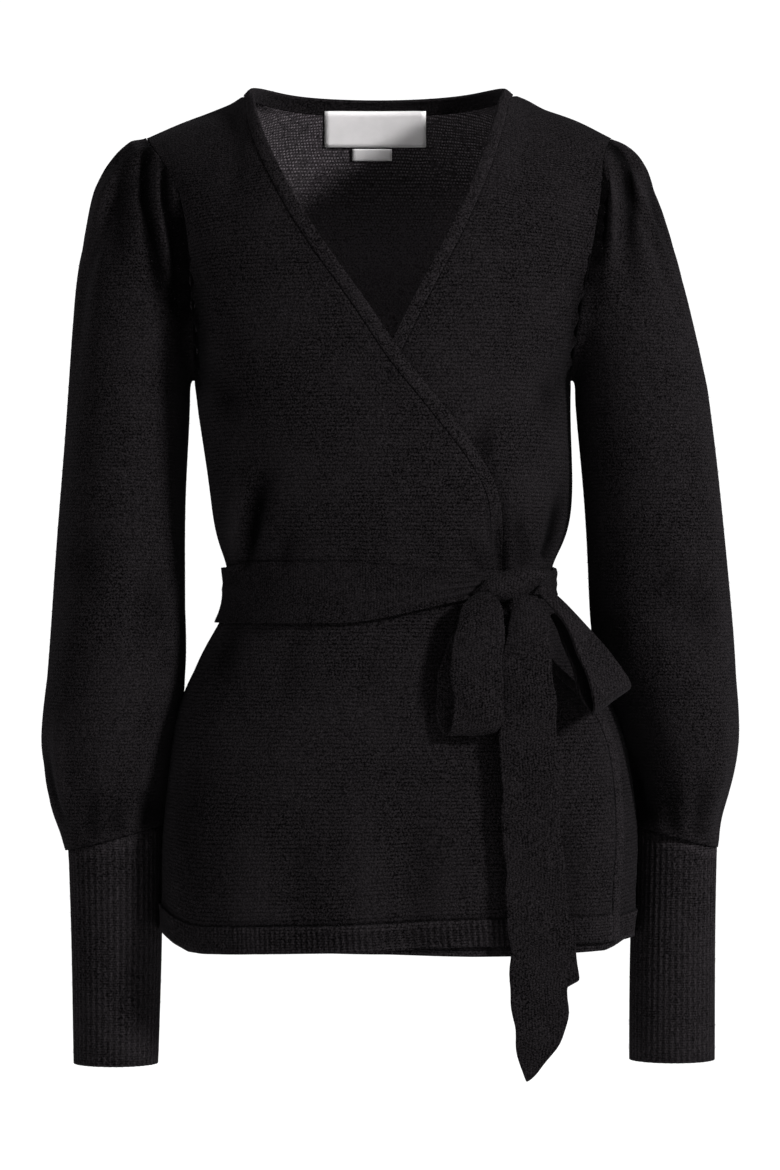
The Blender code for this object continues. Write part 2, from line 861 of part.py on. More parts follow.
def sleeve_mesh(name, which, grid, inside, low, low_inside):
    rows, count = grid.shape[:2]
    low_rows, few = low.shape[:2]
    points = [p for part in (grid, low, inside, low_inside) for row in part for p in row]
    shift = rows * count + low_rows * few
    mirrored = which == LEFT
    faces = []
    for base, flip in ((0, mirrored), (shift, not mirrored)):
        for r in range(rows - 1):
            ring_faces(faces, base + r * count, base + (r + 1) * count, count, flip)
        first_low = base + rows * count
        halving_faces(faces, first_low - count, first_low, count, flip)
        for r in range(low_rows - 1):
            ring_faces(faces, first_low + r * few, first_low + (r + 1) * few, few, flip)
    ring_faces(faces, shift, 0, count, mirrored)
    end = rows * count + (low_rows - 1) * few
    ring_faces(faces, end, shift + end, few, mirrored)
    return add_object(name, points, faces, KNIT, 60)


# The cuffs

CUFF_RIBS = 44
CUFF_RIB_OUT = 0.8
CUFF_END = -711.0
CUFF = {
    LEFT: table(
        "height middle half_width forward half_depth",
        (-536, -199, 34.2, -4, 32),
        (-562, -198.3, 33.4, -4, 31),
        (-600, -197.8, 32.6, -4, 30.5),
        (-629, -197.6, 32, -4, 30.5),
        (-680, -197.9, 30.6, -4, 30),
        (-711, -198.3, 30, -4, 30),
    ),
    RIGHT: table(
        "height middle half_width forward half_depth",
        (-536, 211, 30.4, 19, 32),
        (-562, 210.6, 29.9, 20, 31.5),
        (-600, 209.6, 30, 21, 31),
        (-629, 208.8, 30.4, 21, 30.5),
        (-680, 208.7, 30.6, 21, 30),
        (-711, 208.6, 30.6, 21, 30),
    ),
}
CUFF_RINGS = (CUFF_TOP, (-590, -596), (-640, -642), (CUFF_END, CUFF_END))


def cuff(name, which):
    """A long cuff with its ribs raised outside and a plain inside."""
    count = CUFF_RIBS * 2
    outer, inner = [], []
    for ring in CUFF_RINGS:
        row = []
        for i in range(count):
            angle = 360 * i / count
            point = tube_point(which, angle, *ring, CUFF[which])
            c, s = math.cos(math.radians(angle)), math.sin(math.radians(angle))
            out = np.array([-which * c, -s, 0])
            row.append(point + out * (CUFF_RIB_OUT if i % 2 else 0.0))
            if i % 4 == 0:
                inner_point = point - out * WALL
                inner.append(inner_point)
        outer.append(row)
    inner = np.array(inner).reshape(len(CUFF_RINGS), count // 4, 3)
    outer = np.array(outer)
    for top in (outer[0], inner[0]):
        top[:, 2] = cuff_seam(which, top[:, 0])
    if which == LEFT:
        outer = np.roll(outer[:, ::-1], 1, axis=1)
        inner = np.roll(inner[:, ::-1], 1, axis=1)
    return rib_wall(name, outer, inner, [4] * (count // 4), closed=True)


# The sash and its bow

BELT_WALL = 2.4
BELT_ANGLES = 42
# Round the waist from the right side (0) over the front (90): the middle height, half the height,
# how far its inside lies from the body, and how deep its lengthwise folds are.
BELT = table(
    "angle middle half away folds",
    (0, -360.5, 9.5, 2.4, 1.4),
    (28, -361, 9, 3.4, 1.8),
    (44, -363, 9, 3.8, 1.4),
    (56, -363.5, 10, 3.8, 1.4),
    (66, -366, 14.5, 3.8, 2.2),
    (82, -368, 19.5, 3.7, 1.6),
    (100, -368.5, 21.5, 3.6, 0.8),
    (150, -368.5, 21.8, 3.5, 0.4),
    (180, -368, 22, 2.2, 0.3),
    (270, -367, 21.5, 1.5, 0.4),
    (325, -364, 17, 1.8, 0.8),
    (360, -360.5, 9.5, 2.4, 1.4),
)
BELT_COLUMNS = 6


def belt_point(angle, share, out):
    middle, half = read(BELT, "middle", angle, "angle"), read(BELT, "half", angle, "angle")
    height = middle + half * (1 - 2 * share)
    side = FRONT if angle <= 180 else BACK
    turned = angle if side == FRONT else 360 - angle
    base = on_body(across_at(turned, height), height, side)
    normal = outward(base[0], height, side)
    normal[2] = 0
    normal = normal / np.linalg.norm(normal)
    away = read(BELT, "away", angle, "angle")
    folds = read(BELT, "folds", angle, "angle")
    fold = folds * (0.5 - 0.5 * math.cos(math.pi * 2 * 2.5 * share + 0.6))
    return base + normal * (away + fold * out + BELT_WALL * out)


def belt():
    outer, inner = [], []
    for r in range(BELT_COLUMNS):
        share = r / (BELT_COLUMNS - 1)
        angles = [360 * i / BELT_ANGLES for i in range(BELT_ANGLES)]
        outer.append([belt_point(a, share, 1) for a in angles[::-1]])
        inner.append([belt_point(a, share, 0) for a in angles[::-1]])
    return shell("belt", outer, inner, closed=True)


def ribbon(name, rows, columns=5, wall=2.4, crown=None):
    """A strip of cloth between two edge lines, bowed out across its middle by its crown."""
    outer = []
    for i in range(len(rows["lx"])):
        a = np.array([rows[k][i] for k in ("lx", "ly", "lz")])
        b = np.array([rows[k][i] for k in ("rx", "ry", "rz")])
        outer.append([a + (b - a) * c / (columns - 1) for c in range(columns)])
    outer = np.array(outer)
    down = np.gradient(outer, axis=0)
    over = np.gradient(outer, axis=1)
    normal = np.cross(down, over)
    normal = normal / np.linalg.norm(normal, axis=2, keepdims=True)
    if crown is not None:
        for i in range(len(outer)):
            for c in range(columns):
                outer[i, c] += normal[i, c] * crown(i / (len(outer) - 1), c / (columns - 1))
        normal = np.cross(np.gradient(outer, axis=0), np.gradient(outer, axis=1))
        normal = normal / np.linalg.norm(normal, axis=2, keepdims=True)
    return shell(name, outer, outer - wall * normal, KNIT)


EDGES = "lx ly lz rx ry rz"  # across, forward and height of the left and of the right edge

LEFT_LOOP = table(
    EDGES,
    (60, -94.4, -370, 74, -96.4, -368),
    (50, -106.1, -380, 81, -107.1, -377),
    (45.5, -113, -400, 82, -114, -398),
    (44.5, -119, -430, 81, -120, -428),
    (46, -121, -455, 80.5, -122, -452),
    (45, -118, -466, 80, -119, -463),
    (40, -113.5, -470, 77, -113.5, -467),
    (35, -109.5, -463, 73, -108.5, -460),
    (32, -108, -448, 71, -107, -446),
    (36, -105.5, -425, 73, -105, -424),
    (44, -101, -400, 76, -101.5, -399),
    (56, -96, -382, 77, -95, -382),
)
RIGHT_LOOP = table(
    EDGES,
    (106.1, -90.8, -366, 110.1, -84.8, -361),
    (118.2, -103, -380, 129.2, -91, -378),
    (131, -111, -402, 148, -90, -400),
    (140, -113, -420, 164, -84, -417),
    (145, -112, -438, 173, -78, -429),
    (146, -109, -449, 174, -74, -436),
    (143, -104, -455, 170, -70, -439),
    (137, -101, -448, 164, -69, -434),
    (133, -100, -434, 158, -72, -424),
    (130, -98, -418, 150, -76, -410),
    (122, -92, -402, 138, -78, -396),
    (114, -84, -385, 124, -78, -381),
)
FRONT_TAIL = table(
    EDGES,
    (89, -93, -372, 107, -93, -370),
    (84, -106.4, -392, 113, -106.4, -390),
    (79.5, -113, -425, 117, -113, -423),
    (79, -115.5, -470, 119, -115.5, -470),
    (80, -116.5, -530, 121, -116.5, -530),
    (84, -117, -590, 126, -117, -588),
    (86, -117, -640, 132, -117, -622),
    (88, -117, -675, 135, -117, -641),
)
BACK_TAIL = table(
    EDGES,
    (92, -89.2, -373.7, 106, -89.2, -373.7),
    (87, -102.6, -392.5, 110, -102.6, -391.5),
    (84, -109.4, -425, 114, -109.4, -423),
    (83, -112, -470, 116, -112, -470),
    (84, -113, -530, 119, -113, -530),
    (86, -113.5, -590, 124, -113.5, -590),
    (86.5, -113.5, -645, 128, -113.5, -640),
    (88.5, -113.5, -690, 128, -113.5, -680),
    (98, -113.5, -713, 104, -113.5, -709),
)
# The knot, from its left end to its right one: middle height and depth, half height and half depth.
KNOT = table(
    "across height forward half_height half_depth",
    (64, -365, -90.8, 3, 2.5),
    (68, -365, -90.3, 8.5, 4.5),
    (78, -365.5, -88.8, 10.5, 6.5),
    (90, -364, -85.8, 12.5, 8),
    (101, -362, -81.8, 12.5, 8.5),
    (108, -361, -78.8, 9.5, 7.5),
    (112, -360.5, -76.8, 3.5, 4),
)
KNOT_SIDES = 16


def knot():
    points, faces = [], []
    count = len(KNOT["across"])
    for i in range(count):
        for k in range(KNOT_SIDES):
            angle = 2 * math.pi * k / KNOT_SIDES
            fold = 1 + 0.1 * math.sin(3 * angle + 1.1 * i)
            points.append(
                (
                    KNOT["across"][i] + 4 * math.sin(angle),
                    KNOT["forward"][i] - KNOT["half_depth"][i] * math.cos(angle) * fold,
                    KNOT["height"][i] + KNOT["half_height"][i] * math.sin(angle) * fold,
                )
            )
    for i in range(count - 1):
        ring_faces(faces, i * KNOT_SIDES, (i + 1) * KNOT_SIDES, KNOT_SIDES, False)
    faces.append(list(range(KNOT_SIDES)))
    faces.append(list(range((count - 1) * KNOT_SIDES, count * KNOT_SIDES))[::-1])
    return add_object("belt_knot", points, faces, KNIT, 60)


def bow():
    knot()
    ribbon("bow_loop_right", LEFT_LOOP, crown=lambda s, c: 2.5 * math.sin(math.pi * c) * (1 - s))
    ribbon("bow_loop_left", RIGHT_LOOP, crown=lambda s, c: 1.5 * math.sin(math.pi * c))
    ribbon("tail_front", FRONT_TAIL, crown=lambda s, c: 2 * math.sin(math.pi * c) * (1 - s))
    ribbon("tail_back", BACK_TAIL)


# The bare labels inside the back neck

LABEL_WALL = 0.8


def tag(name, left, right, top, bottom, in_from_back, columns=6, rows=3):
    """A flat woven piece that follows the inside of the back."""
    outer, inner = [], []
    for r in range(rows):
        row_out, row_in = [], []
        for c in range(columns):
            x = left + (right - left) * c / (columns - 1)
            z = top + (bottom - top) * r / (rows - 1)
            normal = outward(x, z, BACK)
            base = on_body(x, z, BACK) - (WALL + in_from_back) * normal
            row_out.append(base)
            row_in.append(base - LABEL_WALL * normal)
        outer.append(row_out[::-1])
        inner.append(row_in[::-1])
    return shell(name, outer, inner, LABEL)


def clear_scene():
    for thing in list(bpy.data.objects):
        bpy.data.objects.remove(thing, do_unlink=True)


def main():
    clear_scene()
    panel("front_right", front_places(LEFT), FRONT, LEFT)
    panel("front_left", front_places(RIGHT), FRONT, RIGHT)
    panel("back", back_places(), BACK)
    neck_band()
    for which, name in ((LEFT, "front_right_hem_rib"), (RIGHT, "front_left_hem_rib")):
        hidden = 0.0 if which == LEFT else UNDER_HIDDEN
        hem(name, FRONT, 180 if which == LEFT else 0, which, hidden)
    hem("back_hem_rib", BACK, 0)
    for which, end in ((LEFT, "right"), (RIGHT, "left")):
        sleeve("sleeve_" + end, which)
        cuff("cuff_" + end, which)
    belt()
    bow()
    tag("neck_label", -46, 27, -15, -40, 0.5)
    tag("size_tag", -27, 3, -40.6, -52, 0.5, 4)


main()
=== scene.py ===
"""Wrap cardigan, the looks: finer cloth on each solid's form, with folds, knit, fuzz and bare labels.

Lengths in the tables are millimetres in the row frame: across (+ is the wearer's left), forward
(- is the front) and height, which is 0 at the neck.
"""

import math

import bmesh
import bpy
import numpy as np
from mathutils.kdtree import KDTree
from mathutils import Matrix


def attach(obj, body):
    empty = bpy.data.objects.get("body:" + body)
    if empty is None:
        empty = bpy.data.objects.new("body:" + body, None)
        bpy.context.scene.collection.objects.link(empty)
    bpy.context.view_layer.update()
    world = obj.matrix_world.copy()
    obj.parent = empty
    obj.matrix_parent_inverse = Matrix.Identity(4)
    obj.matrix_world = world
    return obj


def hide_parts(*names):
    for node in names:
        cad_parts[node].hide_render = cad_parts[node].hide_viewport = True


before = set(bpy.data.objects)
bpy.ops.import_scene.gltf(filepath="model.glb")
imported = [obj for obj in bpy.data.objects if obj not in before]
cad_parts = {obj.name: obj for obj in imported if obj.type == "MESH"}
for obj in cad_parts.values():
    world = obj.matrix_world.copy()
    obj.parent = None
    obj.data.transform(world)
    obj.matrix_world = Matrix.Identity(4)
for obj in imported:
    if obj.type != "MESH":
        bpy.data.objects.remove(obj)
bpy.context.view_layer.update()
MM = 0.001
RIGHT_ARM = -1
LEFT_ARM = 1
RANDOM = np.random.default_rng(7)

# The oval that says which way is out of the body, and the one that its knit runs round.
HALF_WIDTH, HALF_DEPTH = 150, 100
KNIT_HALF_WIDTH, KNIT_HALF_DEPTH = 152, 102
SLEEVE_RADIUS = 52
# Catmull-Clark levels: plain walls are coarser in the CAD than ribs and labels.
MORE_LEVELS, FEWER_LEVELS = 3, 2
# How much fuller hem ribs, cuffs and neck band are than the CAD, and how much higher a rib's crest.
FULLER = 0.3
RIB_GROWTH = 0.9
HEM_RIB_PITCH, CUFF_RIB_PITCH = 3.6, 4.5
# Ribs are found in bands of this height. Points that differ more in depth than the second number are on the
# two faces of the wall.
RIB_BAND, SAME_FACE = 2.5, 1.3
# The seam of sleeve and cuff slopes. It is at this height in the middle of the sleeve.
CUFF_SEAM = -546
CUFF_SLOPE = 0.275
CUFF_MIDDLE = {RIGHT_ARM: -201, LEFT_ARM: 211.5}
# Folds grow from nothing to full between these distances from an armhole.
SEAM_FADE = (1, 9)
# The rolled seam there: its radius, and how far its middle lies under the surface.
SEAM_RADIUS = 1.15
SEAM_SUNK = 0.45
# Edges that turn more than this stay edges: crisp where a piece is sewn on, softer where it is free.
EDGE_ANGLE = math.radians(62)
SEWN_CRISP, FREE_CRISP = 1.0, 0.6
FIBRE_RADIUS = 0.055


# Folds. Each line has across, height, depth (+ goes in, - stands out) and half width.
# The knit material paints shade where the depth goes in and a highlight where it stands out.

FRONT_FOLDS = (
    ((-86, -272, 0, 9), (-88, -289, 2.5, 8), (-93, -306, 5, 7), (-98, -328, 6, 6), (-102, -347, 4, 5)),
    ((-103, -276, 0, 9), (-107, -303, -2.5, 8), (-109, -324, -3.5, 8), (-106, -345, -2, 7)),
    ((-70, -322, 0, 8), (-73, -336, 2, 7), (-76, -347, 1.5, 6)),
    ((-146, -112, 0, 8), (-143, -150, 3.4, 11), (-142, -184, 5, 12), (-143, -214, 5, 12)),
    ((146, -112, 0, 8), (143, -150, 2.6, 11), (141, -184, 4.2, 12), (141, -214, 4.4, 12)),
    ((127, -284, 0, 8), (123, -311, 4.5, 6), (119, -328, 5.5, 5), (115, -340, 4, 5)),
    ((73, -272, 0, 9), (78, -310, 3, 7), (79, -329, 5.5, 5.5), (82, -353, 5, 4.5)),
    ((92, -296, 0, 9), (94, -322, 2.2, 7), (98, -346, 2, 6)),
    ((56, -318, 0, 10), (60, -340, 1.6, 8), (66, -350, 1.5, 7)),
    ((74, -236, 0, 9), (68, -263, 3, 8), (70, -282, 1, 8)),
    ((-20, -322, 0, 12), (-26, -340, 1.2, 9), (-28, -348, 1, 8)),
    ((-128, -196, 0, 10), (-114, -232, 2.6, 12), (-108, -266, 0, 12)),
    ((128, -190, 0, 10), (116, -226, 2.4, 12), (114, -262, 0, 12)),
    ((-108, -392, 1.5, 7), (-118, -414, 2.6, 9), (-126, -446, 0, 12)),
    ((-62, -392, 0.8, 8), (-70, -420, 1.6, 11), (-80, -470, 0, 15)),
    ((-8, -392, 0.6, 9), (-12, -424, 1.2, 12), (-14, -476, 0, 18)),
    ((40, -392, 1.2, 8), (34, -420, 2, 10), (22, -474, 0, 16)),
    ((118, -396, 1.2, 7), (126, -418, 2.4, 9), (140, -462, 0, 14)),
    ((-134, -470, 0, 14), (-140, -520, 2.2, 13), (-138, -570, 1.4, 13), (-136, -622, 0.5, 14)),
    ((-52, -500, 0, 20), (-58, -556, 1.6, 18), (-56, -622, 1.2, 18)),
    ((18, -488, 0, 20), (26, -552, 1.8, 18), (24, -622, 1.4, 17)),
    ((120, -500, 0, 14), (128, -560, 2, 14), (130, -622, 1.4, 14)),
    ((-92, -500, 0, 18), (-98, -560, -1.6, 17), (-96, -622, -1.2, 17)),
    ((-20, -486, 0, 22), (-16, -556, -1.6, 20), (-16, -622, -1.2, 20)),
)
BACK_FOLDS = (
    ((-96, -286, 0, 9), (-92, -312, 3.4, 8), (-88, -336, 4.2, 6), (-86, -352, 3, 6)),
    ((-58, -300, 0, 9), (-54, -322, 2.4, 8), (-50, -346, 3, 6)),
    ((-6, -292, 0, 10), (-2, -320, 2.6, 9), (2, -347, 3.2, 7)),
    ((44, -304, 0, 9), (46, -326, 2.2, 8), (48, -348, 2.6, 6)),
    ((92, -280, 0, 9), (88, -310, 3.6, 8), (86, -342, 4.4, 6)),
    ((-76, -304, 0, 9), (-72, -326, -1.8, 8), (-70, -344, -1.4, 8)),
    ((24, -300, 0, 10), (24, -328, -1.8, 9), (25, -346, -1.4, 8)),
    ((-102, -392, 1.6, 7), (-112, -420, 2.8, 10), (-120, -462, 0, 14)),
    ((-34, -392, 1.2, 8), (-40, -424, 2, 11), (-46, -480, 0, 16)),
    ((30, -392, 1.4, 8), (34, -420, 2.2, 10), (42, -468, 0, 15)),
    ((104, -392, 1.6, 7), (114, -418, 2.6, 10), (124, -456, 0, 14)),
    ((-84, -500, 0, 18), (-90, -560, 2.2, 17), (-88, -622, 1.6, 16)),
    ((-4, -510, 0, 20), (2, -566, 2, 19), (2, -622, 1.6, 18)),
    ((82, -496, 0, 18), (88, -556, 2.4, 17), (90, -622, 1.8, 16)),
    ((-120, -182, 0, 12), (-104, -216, 2.6, 13), (-92, -254, 0, 14)),
    ((118, -178, 0, 12), (102, -214, 2.4, 13), (92, -250, 0, 14)),
)
# Folds of the sash alone, which is bunched toward its knot.
SASH_MIDDLE = -364
SASH_FOLDS = (
    ((-62, -371, 0, 7), (-20, -372, -1.0, 5), (18, -370, -1.8, 4), (46, -365, -2.6, 3), (70, -360, -3, 2.6)),
    ((-14, -380, 0, 6), (20, -379, -1.4, 4.5), (46, -374, -2.4, 3.4), (70, -366, -2.6, 2.8)),
    ((-2, -361, 0, 5), (28, -360, -1.2, 4), (50, -357, -2, 3), (70, -354, -2, 2.6)),
    ((-118, -366, -1.2, 4), (-96, -370, -0.8, 6), (-70, -372, 0, 8)),
)
# The same on the front and on the back half of each sleeve.
SLEEVE_FOLDS = {
    (RIGHT_ARM, -1): (
        ((-182, -38, 2, 4.5), (-190, -71, 3.4, 6), (-194, -114, 2, 9), (-196, -160, 0, 12)),
        ((-172, -44, 5, 3.6), (-172, -86, 8, 5), (-166, -126, 6.5, 7), (-158, -165, 2.6, 11),
         (-150, -215, 0, 12)),
        ((-161, -50, 4, 3.2), (-159, -86, 6, 4.2), (-152, -120, 5.5, 6), (-146, -156, 3, 9)),
        ((-147, -88, 3, 4), (-147, -111, 4.5, 6), (-145, -158, 4.5, 8), (-144, -219, 2, 8)),
        ((-185, -44, -1, 5), (-203, -82, -2, 7), (-216, -129, -2, 10), (-220, -170, 0, 12)),
        ((-166, -50, -2, 3), (-166, -92, -3, 4.4), (-159, -128, -2.4, 6), (-150, -160, 0, 8)),
        ((-236, -446, 0, 8), (-238, -478, -2.5, 6), (-235, -505, -3, 5), (-232, -520, -2, 5),
         (-227, -534, -1, 5)),
        ((-243, -470, 0, 5), (-245, -494, 3.5, 5), (-240, -516, 4, 4.5), (-233, -532, 2, 4)),
        ((-176, -500, 0, 9), (-174, -522, 3, 8), (-176, -537, 3, 6)),
        ((-196, -505, 0, 10), (-195, -526, 2.4, 8), (-196, -539, 2.4, 6)),
        ((-214, -500, 0, 9), (-213, -524, 2.2, 7), (-213, -541, 2, 6)),
        ((-206, -300, 0, 16), (-216, -346, 2, 16), (-212, -392, 0, 18)),
        ((-166, -330, 0, 14), (-170, -376, 2, 14), (-180, -424, 0, 16)),
    ),
    (RIGHT_ARM, 1): (
        ((-180, -42, 3, 4.5), (-190, -78, 4.5, 6), (-196, -122, 3, 9), (-198, -168, 0, 12)),
        ((-166, -54, 4, 4), (-168, -90, 6, 6), (-164, -136, 4, 9), (-160, -184, 0, 12)),
        ((-154, -70, 3, 4), (-153, -104, 4.5, 6), (-149, -152, 3, 8), (-147, -206, 0, 10)),
        ((-212, -446, 0, 12), (-214, -486, 3.4, 9), (-211, -530, 3.4, 6), (-210, -543, 2.5, 5)),
        ((-186, -470, 0, 12), (-188, -506, 3, 9), (-189, -540, 3, 6)),
        ((-228, -480, 0, 9), (-230, -510, 2.6, 7), (-227, -546, 2, 5)),
        ((-190, -290, 0, 16), (-200, -340, 2.4, 16), (-206, -396, 0, 18)),
    ),
    (LEFT_ARM, -1): (
        ((151, -50, 4.5, 3.6), (155, -74, 7, 4.6), (152, -104, 6.5, 6), (146, -143, 4, 9),
         (142, -200, 0, 10)),
        ((160, -42, 4.5, 3.6), (173, -64, 7, 4.8), (179, -90, 5.5, 7), (180, -124, 3, 10),
         (178, -168, 0, 12)),
        ((157, -52, -2, 3.4), (164, -80, -3, 5), (165, -116, -2.4, 7), (160, -156, 0, 11)),
        ((186, -48, 2.5, 4), (200, -78, 3, 6), (208, -118, 1.5, 9), (211, -158, 0, 12)),
        ((172, -470, 0, 8), (178, -492, 4, 6), (182, -507, 5.5, 5.5), (186, -519, 4, 5), (190, -528, 2, 5)),
        ((206, -496, 0, 9), (205, -520, 2.6, 8), (206, -538, 2.6, 6)),
        ((228, -492, 0, 9), (227, -518, 2.6, 7), (224, -541, 2.2, 5)),
        ((190, -310, 0, 16), (200, -360, 2.2, 16), (212, -410, 0, 18)),
        ((226, -330, 0, 14), (228, -380, 1.8, 14), (226, -430, 0, 16)),
    ),
    (LEFT_ARM, 1): (
        ((150, -54, 3.5, 4), (156, -84, 5, 6), (154, -126, 4, 8), (150, -176, 0, 11)),
        ((166, -46, 3.5, 4), (176, -78, 5, 6), (182, -122, 3, 9), (184, -172, 0, 12)),
        ((188, -52, 2.5, 4), (200, -88, 3, 7), (208, -134, 0, 11)),
        ((204, -452, 0, 12), (206, -492, 3.4, 9), (208, -536, 3.4, 6)),
        ((226, -470, 0, 10), (229, -508, 3, 8), (226, -545, 2.4, 5)),
        ((190, -480, 0, 10), (190, -512, 2.6, 8), (192, -538, 2.6, 6)),
        ((204, -290, 0, 16), (198, -344, 2.4, 16), (206, -400, 0, 18)),
    ),
}
# The middle line of each sleeve, from the top down: height, across and forward.
ARM_AXIS = {
    RIGHT_ARM: ((-60, -188, 0), (-220, -188.5, 0), (-308, -194, 1), (-396, -197, 2), (-454, -202, 0),
                (-512, -205, -3), (-560, -199, -4), (-720, -198, -4)),
    LEFT_ARM: ((-60, 180, 0), (-220, 184.4, 0), (-308, 194, 3), (-396, 200, 8), (-454, 211, 12),
               (-512, 215.5, 16), (-560, 210.6, 20), (-720, 208.6, 21)),
}


# Corrections to the outline

# How far the sides of the body move out, as height, wearer's right and wearer's left.
BODY_SIDES = ((-425, 0, 0), (-445, 2.6, 2.6), (-455, 3.8, 3.2), (-476, 4.2, 3.4), (-498, 4.4, 3.6),
              (-527, 4.8, 4.2), (-548, 5, 4.2), (-565, 4.4, 3), (-585, 3.4, 1.6), (-615, 2.4, 0.8),
              (-640, 1.6, 0))
# The same for the outer sides of the sleeve heads.
SHOULDERS = ((-10, 0, 0), (-24, 3, 2), (-45, 6, 3), (-60, 6.5, 0), (-75, 6, -5), (-100, 2, -8), (-118, 0, -9),
             (-140, 0, -8), (-162, 0, -5.5), (-190, 0, -2.5), (-220, 0, 0))
# How much fuller both sleeves are all round, by height.
BALLOON = ((-430, 0), (-452, 1.2), (-476, 2.2), (-498, 2.5), (-522, 2.8), (-548, 2.4))
# How far the inner side of the right sleeve moves toward the body: heights, then distances.
INNER_ARM = ((-500, -476, -455, -440, -410, -380), (0, 1, 2.5, 3, 1.5, 0))
# How far the top of each sleeve moves up.
HEAD_UP = {RIGHT_ARM: 3.4, LEFT_ARM: 0.5}
# How far the hem moves up or down, by how far across. First the top front, then what lies under it.
TOP_HEM = ((-166, 8), (-162, 7), (-152, 0), (-141, -5), (-131, -5.8), (-110, -5), (-80, -3.5), (-40, -2.5),
           (0, -0.5), (30, 1.2), (60, 2), (90, 2.4), (150, 2.2), (175, 3))
UNDER_HEM = ((-166, 8), (-162, 7), (-152, 0), (-141, -5), (-131, -5.8), (-110, -5), (-40, -3), (0, -3.4),
             (30, -4.6), (60, -5.4), (90, -5.6), (147, -4.6), (155, -4.4), (162, -2), (169, 1.5), (175, 2))
# Those moves grow from nothing to full between these heights.
HEM_FADE = (-500, -608)
# The back neck edge moves up.
NECK_UP = 3
# The neck label moves forward and up and is a little wider. The tag moves and is a little shorter.
LABEL_SHIFT = (0, -3.3, 5.2)
LABEL_WIDER = 0.05
LABEL_MIDDLE = -9.5
TAG_UP, TAG_FORWARD, TAG_SHARE = 4.6, 2.9, 0.76
# A panel's last few mm close down and out over its hem rib.
LAP_HEIGHT, LAP_DOWN, LAP_OUT = 4.5, 1.2, 0.0028


def pushed(points, table, share, across):
    """The points moved out to either side by a table of outline corrections, as far as their share of it."""
    rows = np.array(table[::-1], float)
    far = np.where(across < 0, -np.interp(points[:, 2], rows[:, 0], rows[:, 1]),
                   np.interp(points[:, 2], rows[:, 0], rows[:, 2]))
    points[:, 0] += far * share
    return points


def run_of(points, line):
    """How deep one fold is at each point of across and height."""
    rows = np.array(line, float)
    best = np.zeros(len(points))
    for a, b in zip(rows, rows[1:]):
        step = b[:2] - a[:2]
        t = np.clip((points - a[:2]) @ step / (step @ step), 0, 1)
        off = np.linalg.norm(points - a[:2] - t[:, None] * step, axis=1)
        here = (a[2] + t * (b[2] - a[2])) * np.exp(-((off / (a[3] + t * (b[3] - a[3]))) ** 2))
        best = np.where(abs(here) > abs(best), here, best)
    return best


def smooth(a, b, x):
    """A soft step, 0 at a and 1 at b."""
    t = np.clip((x - a) / (b - a), 0, 1)
    return t * t * (3 - 2 * t)


def out_of_body(points):
    """The level direction that leads out of the body at each point."""
    out = np.stack([points[:, 0] / HALF_WIDTH**2, points[:, 1] / HALF_DEPTH**2], axis=1)
    return out / np.linalg.norm(out, axis=1, keepdims=True)


def body_folded(points, hem=UNDER_HEM):
    """The points of anything that lies on the body, moved in or out by the folds under it."""
    across = points[:, [0, 2]]
    out = out_of_body(points)
    deep = np.zeros(len(points))
    for side, folds in ((-1, FRONT_FOLDS), (1, BACK_FOLDS)):
        on_side = smooth(2, 30, side * points[:, 1])
        for line in folds:
            deep += on_side * run_of(across, line)
    # Folds run out where a sleeve is sewn on. Only points that can be near are measured.
    sewn = np.ones(len(points))
    close = (points[:, 2] > -245) & (abs(points[:, 0]) > 100)
    for line in ARMHOLES.values():
        sewn[close] *= smooth(*SEAM_FADE, distance_to(points[close], line))
    # The depth that goes back is not faded there, so the painted fold shade reaches the armhole seam.
    moved = points.copy()
    moved[:, :2] -= out * (deep * sewn)[:, None]
    moved[:, 2] += np.interp(points[:, 0], *np.array(hem, float).T) * smooth(*HEM_FADE, points[:, 2])
    moved[:, 2] += NECK_UP * smooth(-24, -8, points[:, 2]) * (1 - smooth(100, 118, abs(points[:, 0])))
    return pushed(moved, BODY_SIDES, smooth(95, 150, abs(points[:, 0])), points[:, 0]), deep


def label_folded(points):
    """The large label hangs close under the neck edge."""
    moved, deep = body_folded(points)
    moved += LABEL_SHIFT
    moved[:, 0] += LABEL_WIDER * (points[:, 0] - LABEL_MIDDLE)
    return moved, deep


def tag_folded(points):
    """The tag shows below the large label."""
    moved, deep = body_folded(points)
    top = points[:, 2].max()
    moved[:, 2] = top + TAG_UP + TAG_SHARE * (moved[:, 2] - top)
    moved[:, 1] -= TAG_FORWARD
    return moved, deep


def top_folded(points):
    """The same as body_folded, for the front that laps on top."""
    return body_folded(points, TOP_HEM)


def over_hem(fold):
    """A panel folded like this, with its lower end closed over the top of its hem rib."""
    def folded(points):
        low = points[:, 2].min()
        end = 1 - smooth(low, low + LAP_HEIGHT, points[:, 2])
        points = points.copy()
        points[:, 2] -= LAP_DOWN * end
        points[:, :2] *= 1 + (LAP_OUT * end)[:, None]
        return fold(points)

    return folded


def band_folded(points):
    """The edge band goes with the top front on one side and with the front under it on the other."""
    under, deep = body_folded(points)
    top, _ = body_folded(points, TOP_HEM)
    return np.where(points[:, :1] > 0, top, under), deep * 0.5


def ribbon_folded(points):
    """Ribbons waver a little, at their edges too."""
    moved = points.copy()
    across, height = points[:, 0], points[:, 2]
    moved[:, 0] += 0.9 * np.sin(height / 9.1 + 0.6) + 0.5 * np.sin(height / 4.3 + across / 11)
    moved[:, 1] -= 0.35 * (1 + np.sin(height / 7.7 + across / 6.5))
    moved[:, 2] += 0.6 * np.sin(across / 6.1)
    return moved, np.zeros(len(points))


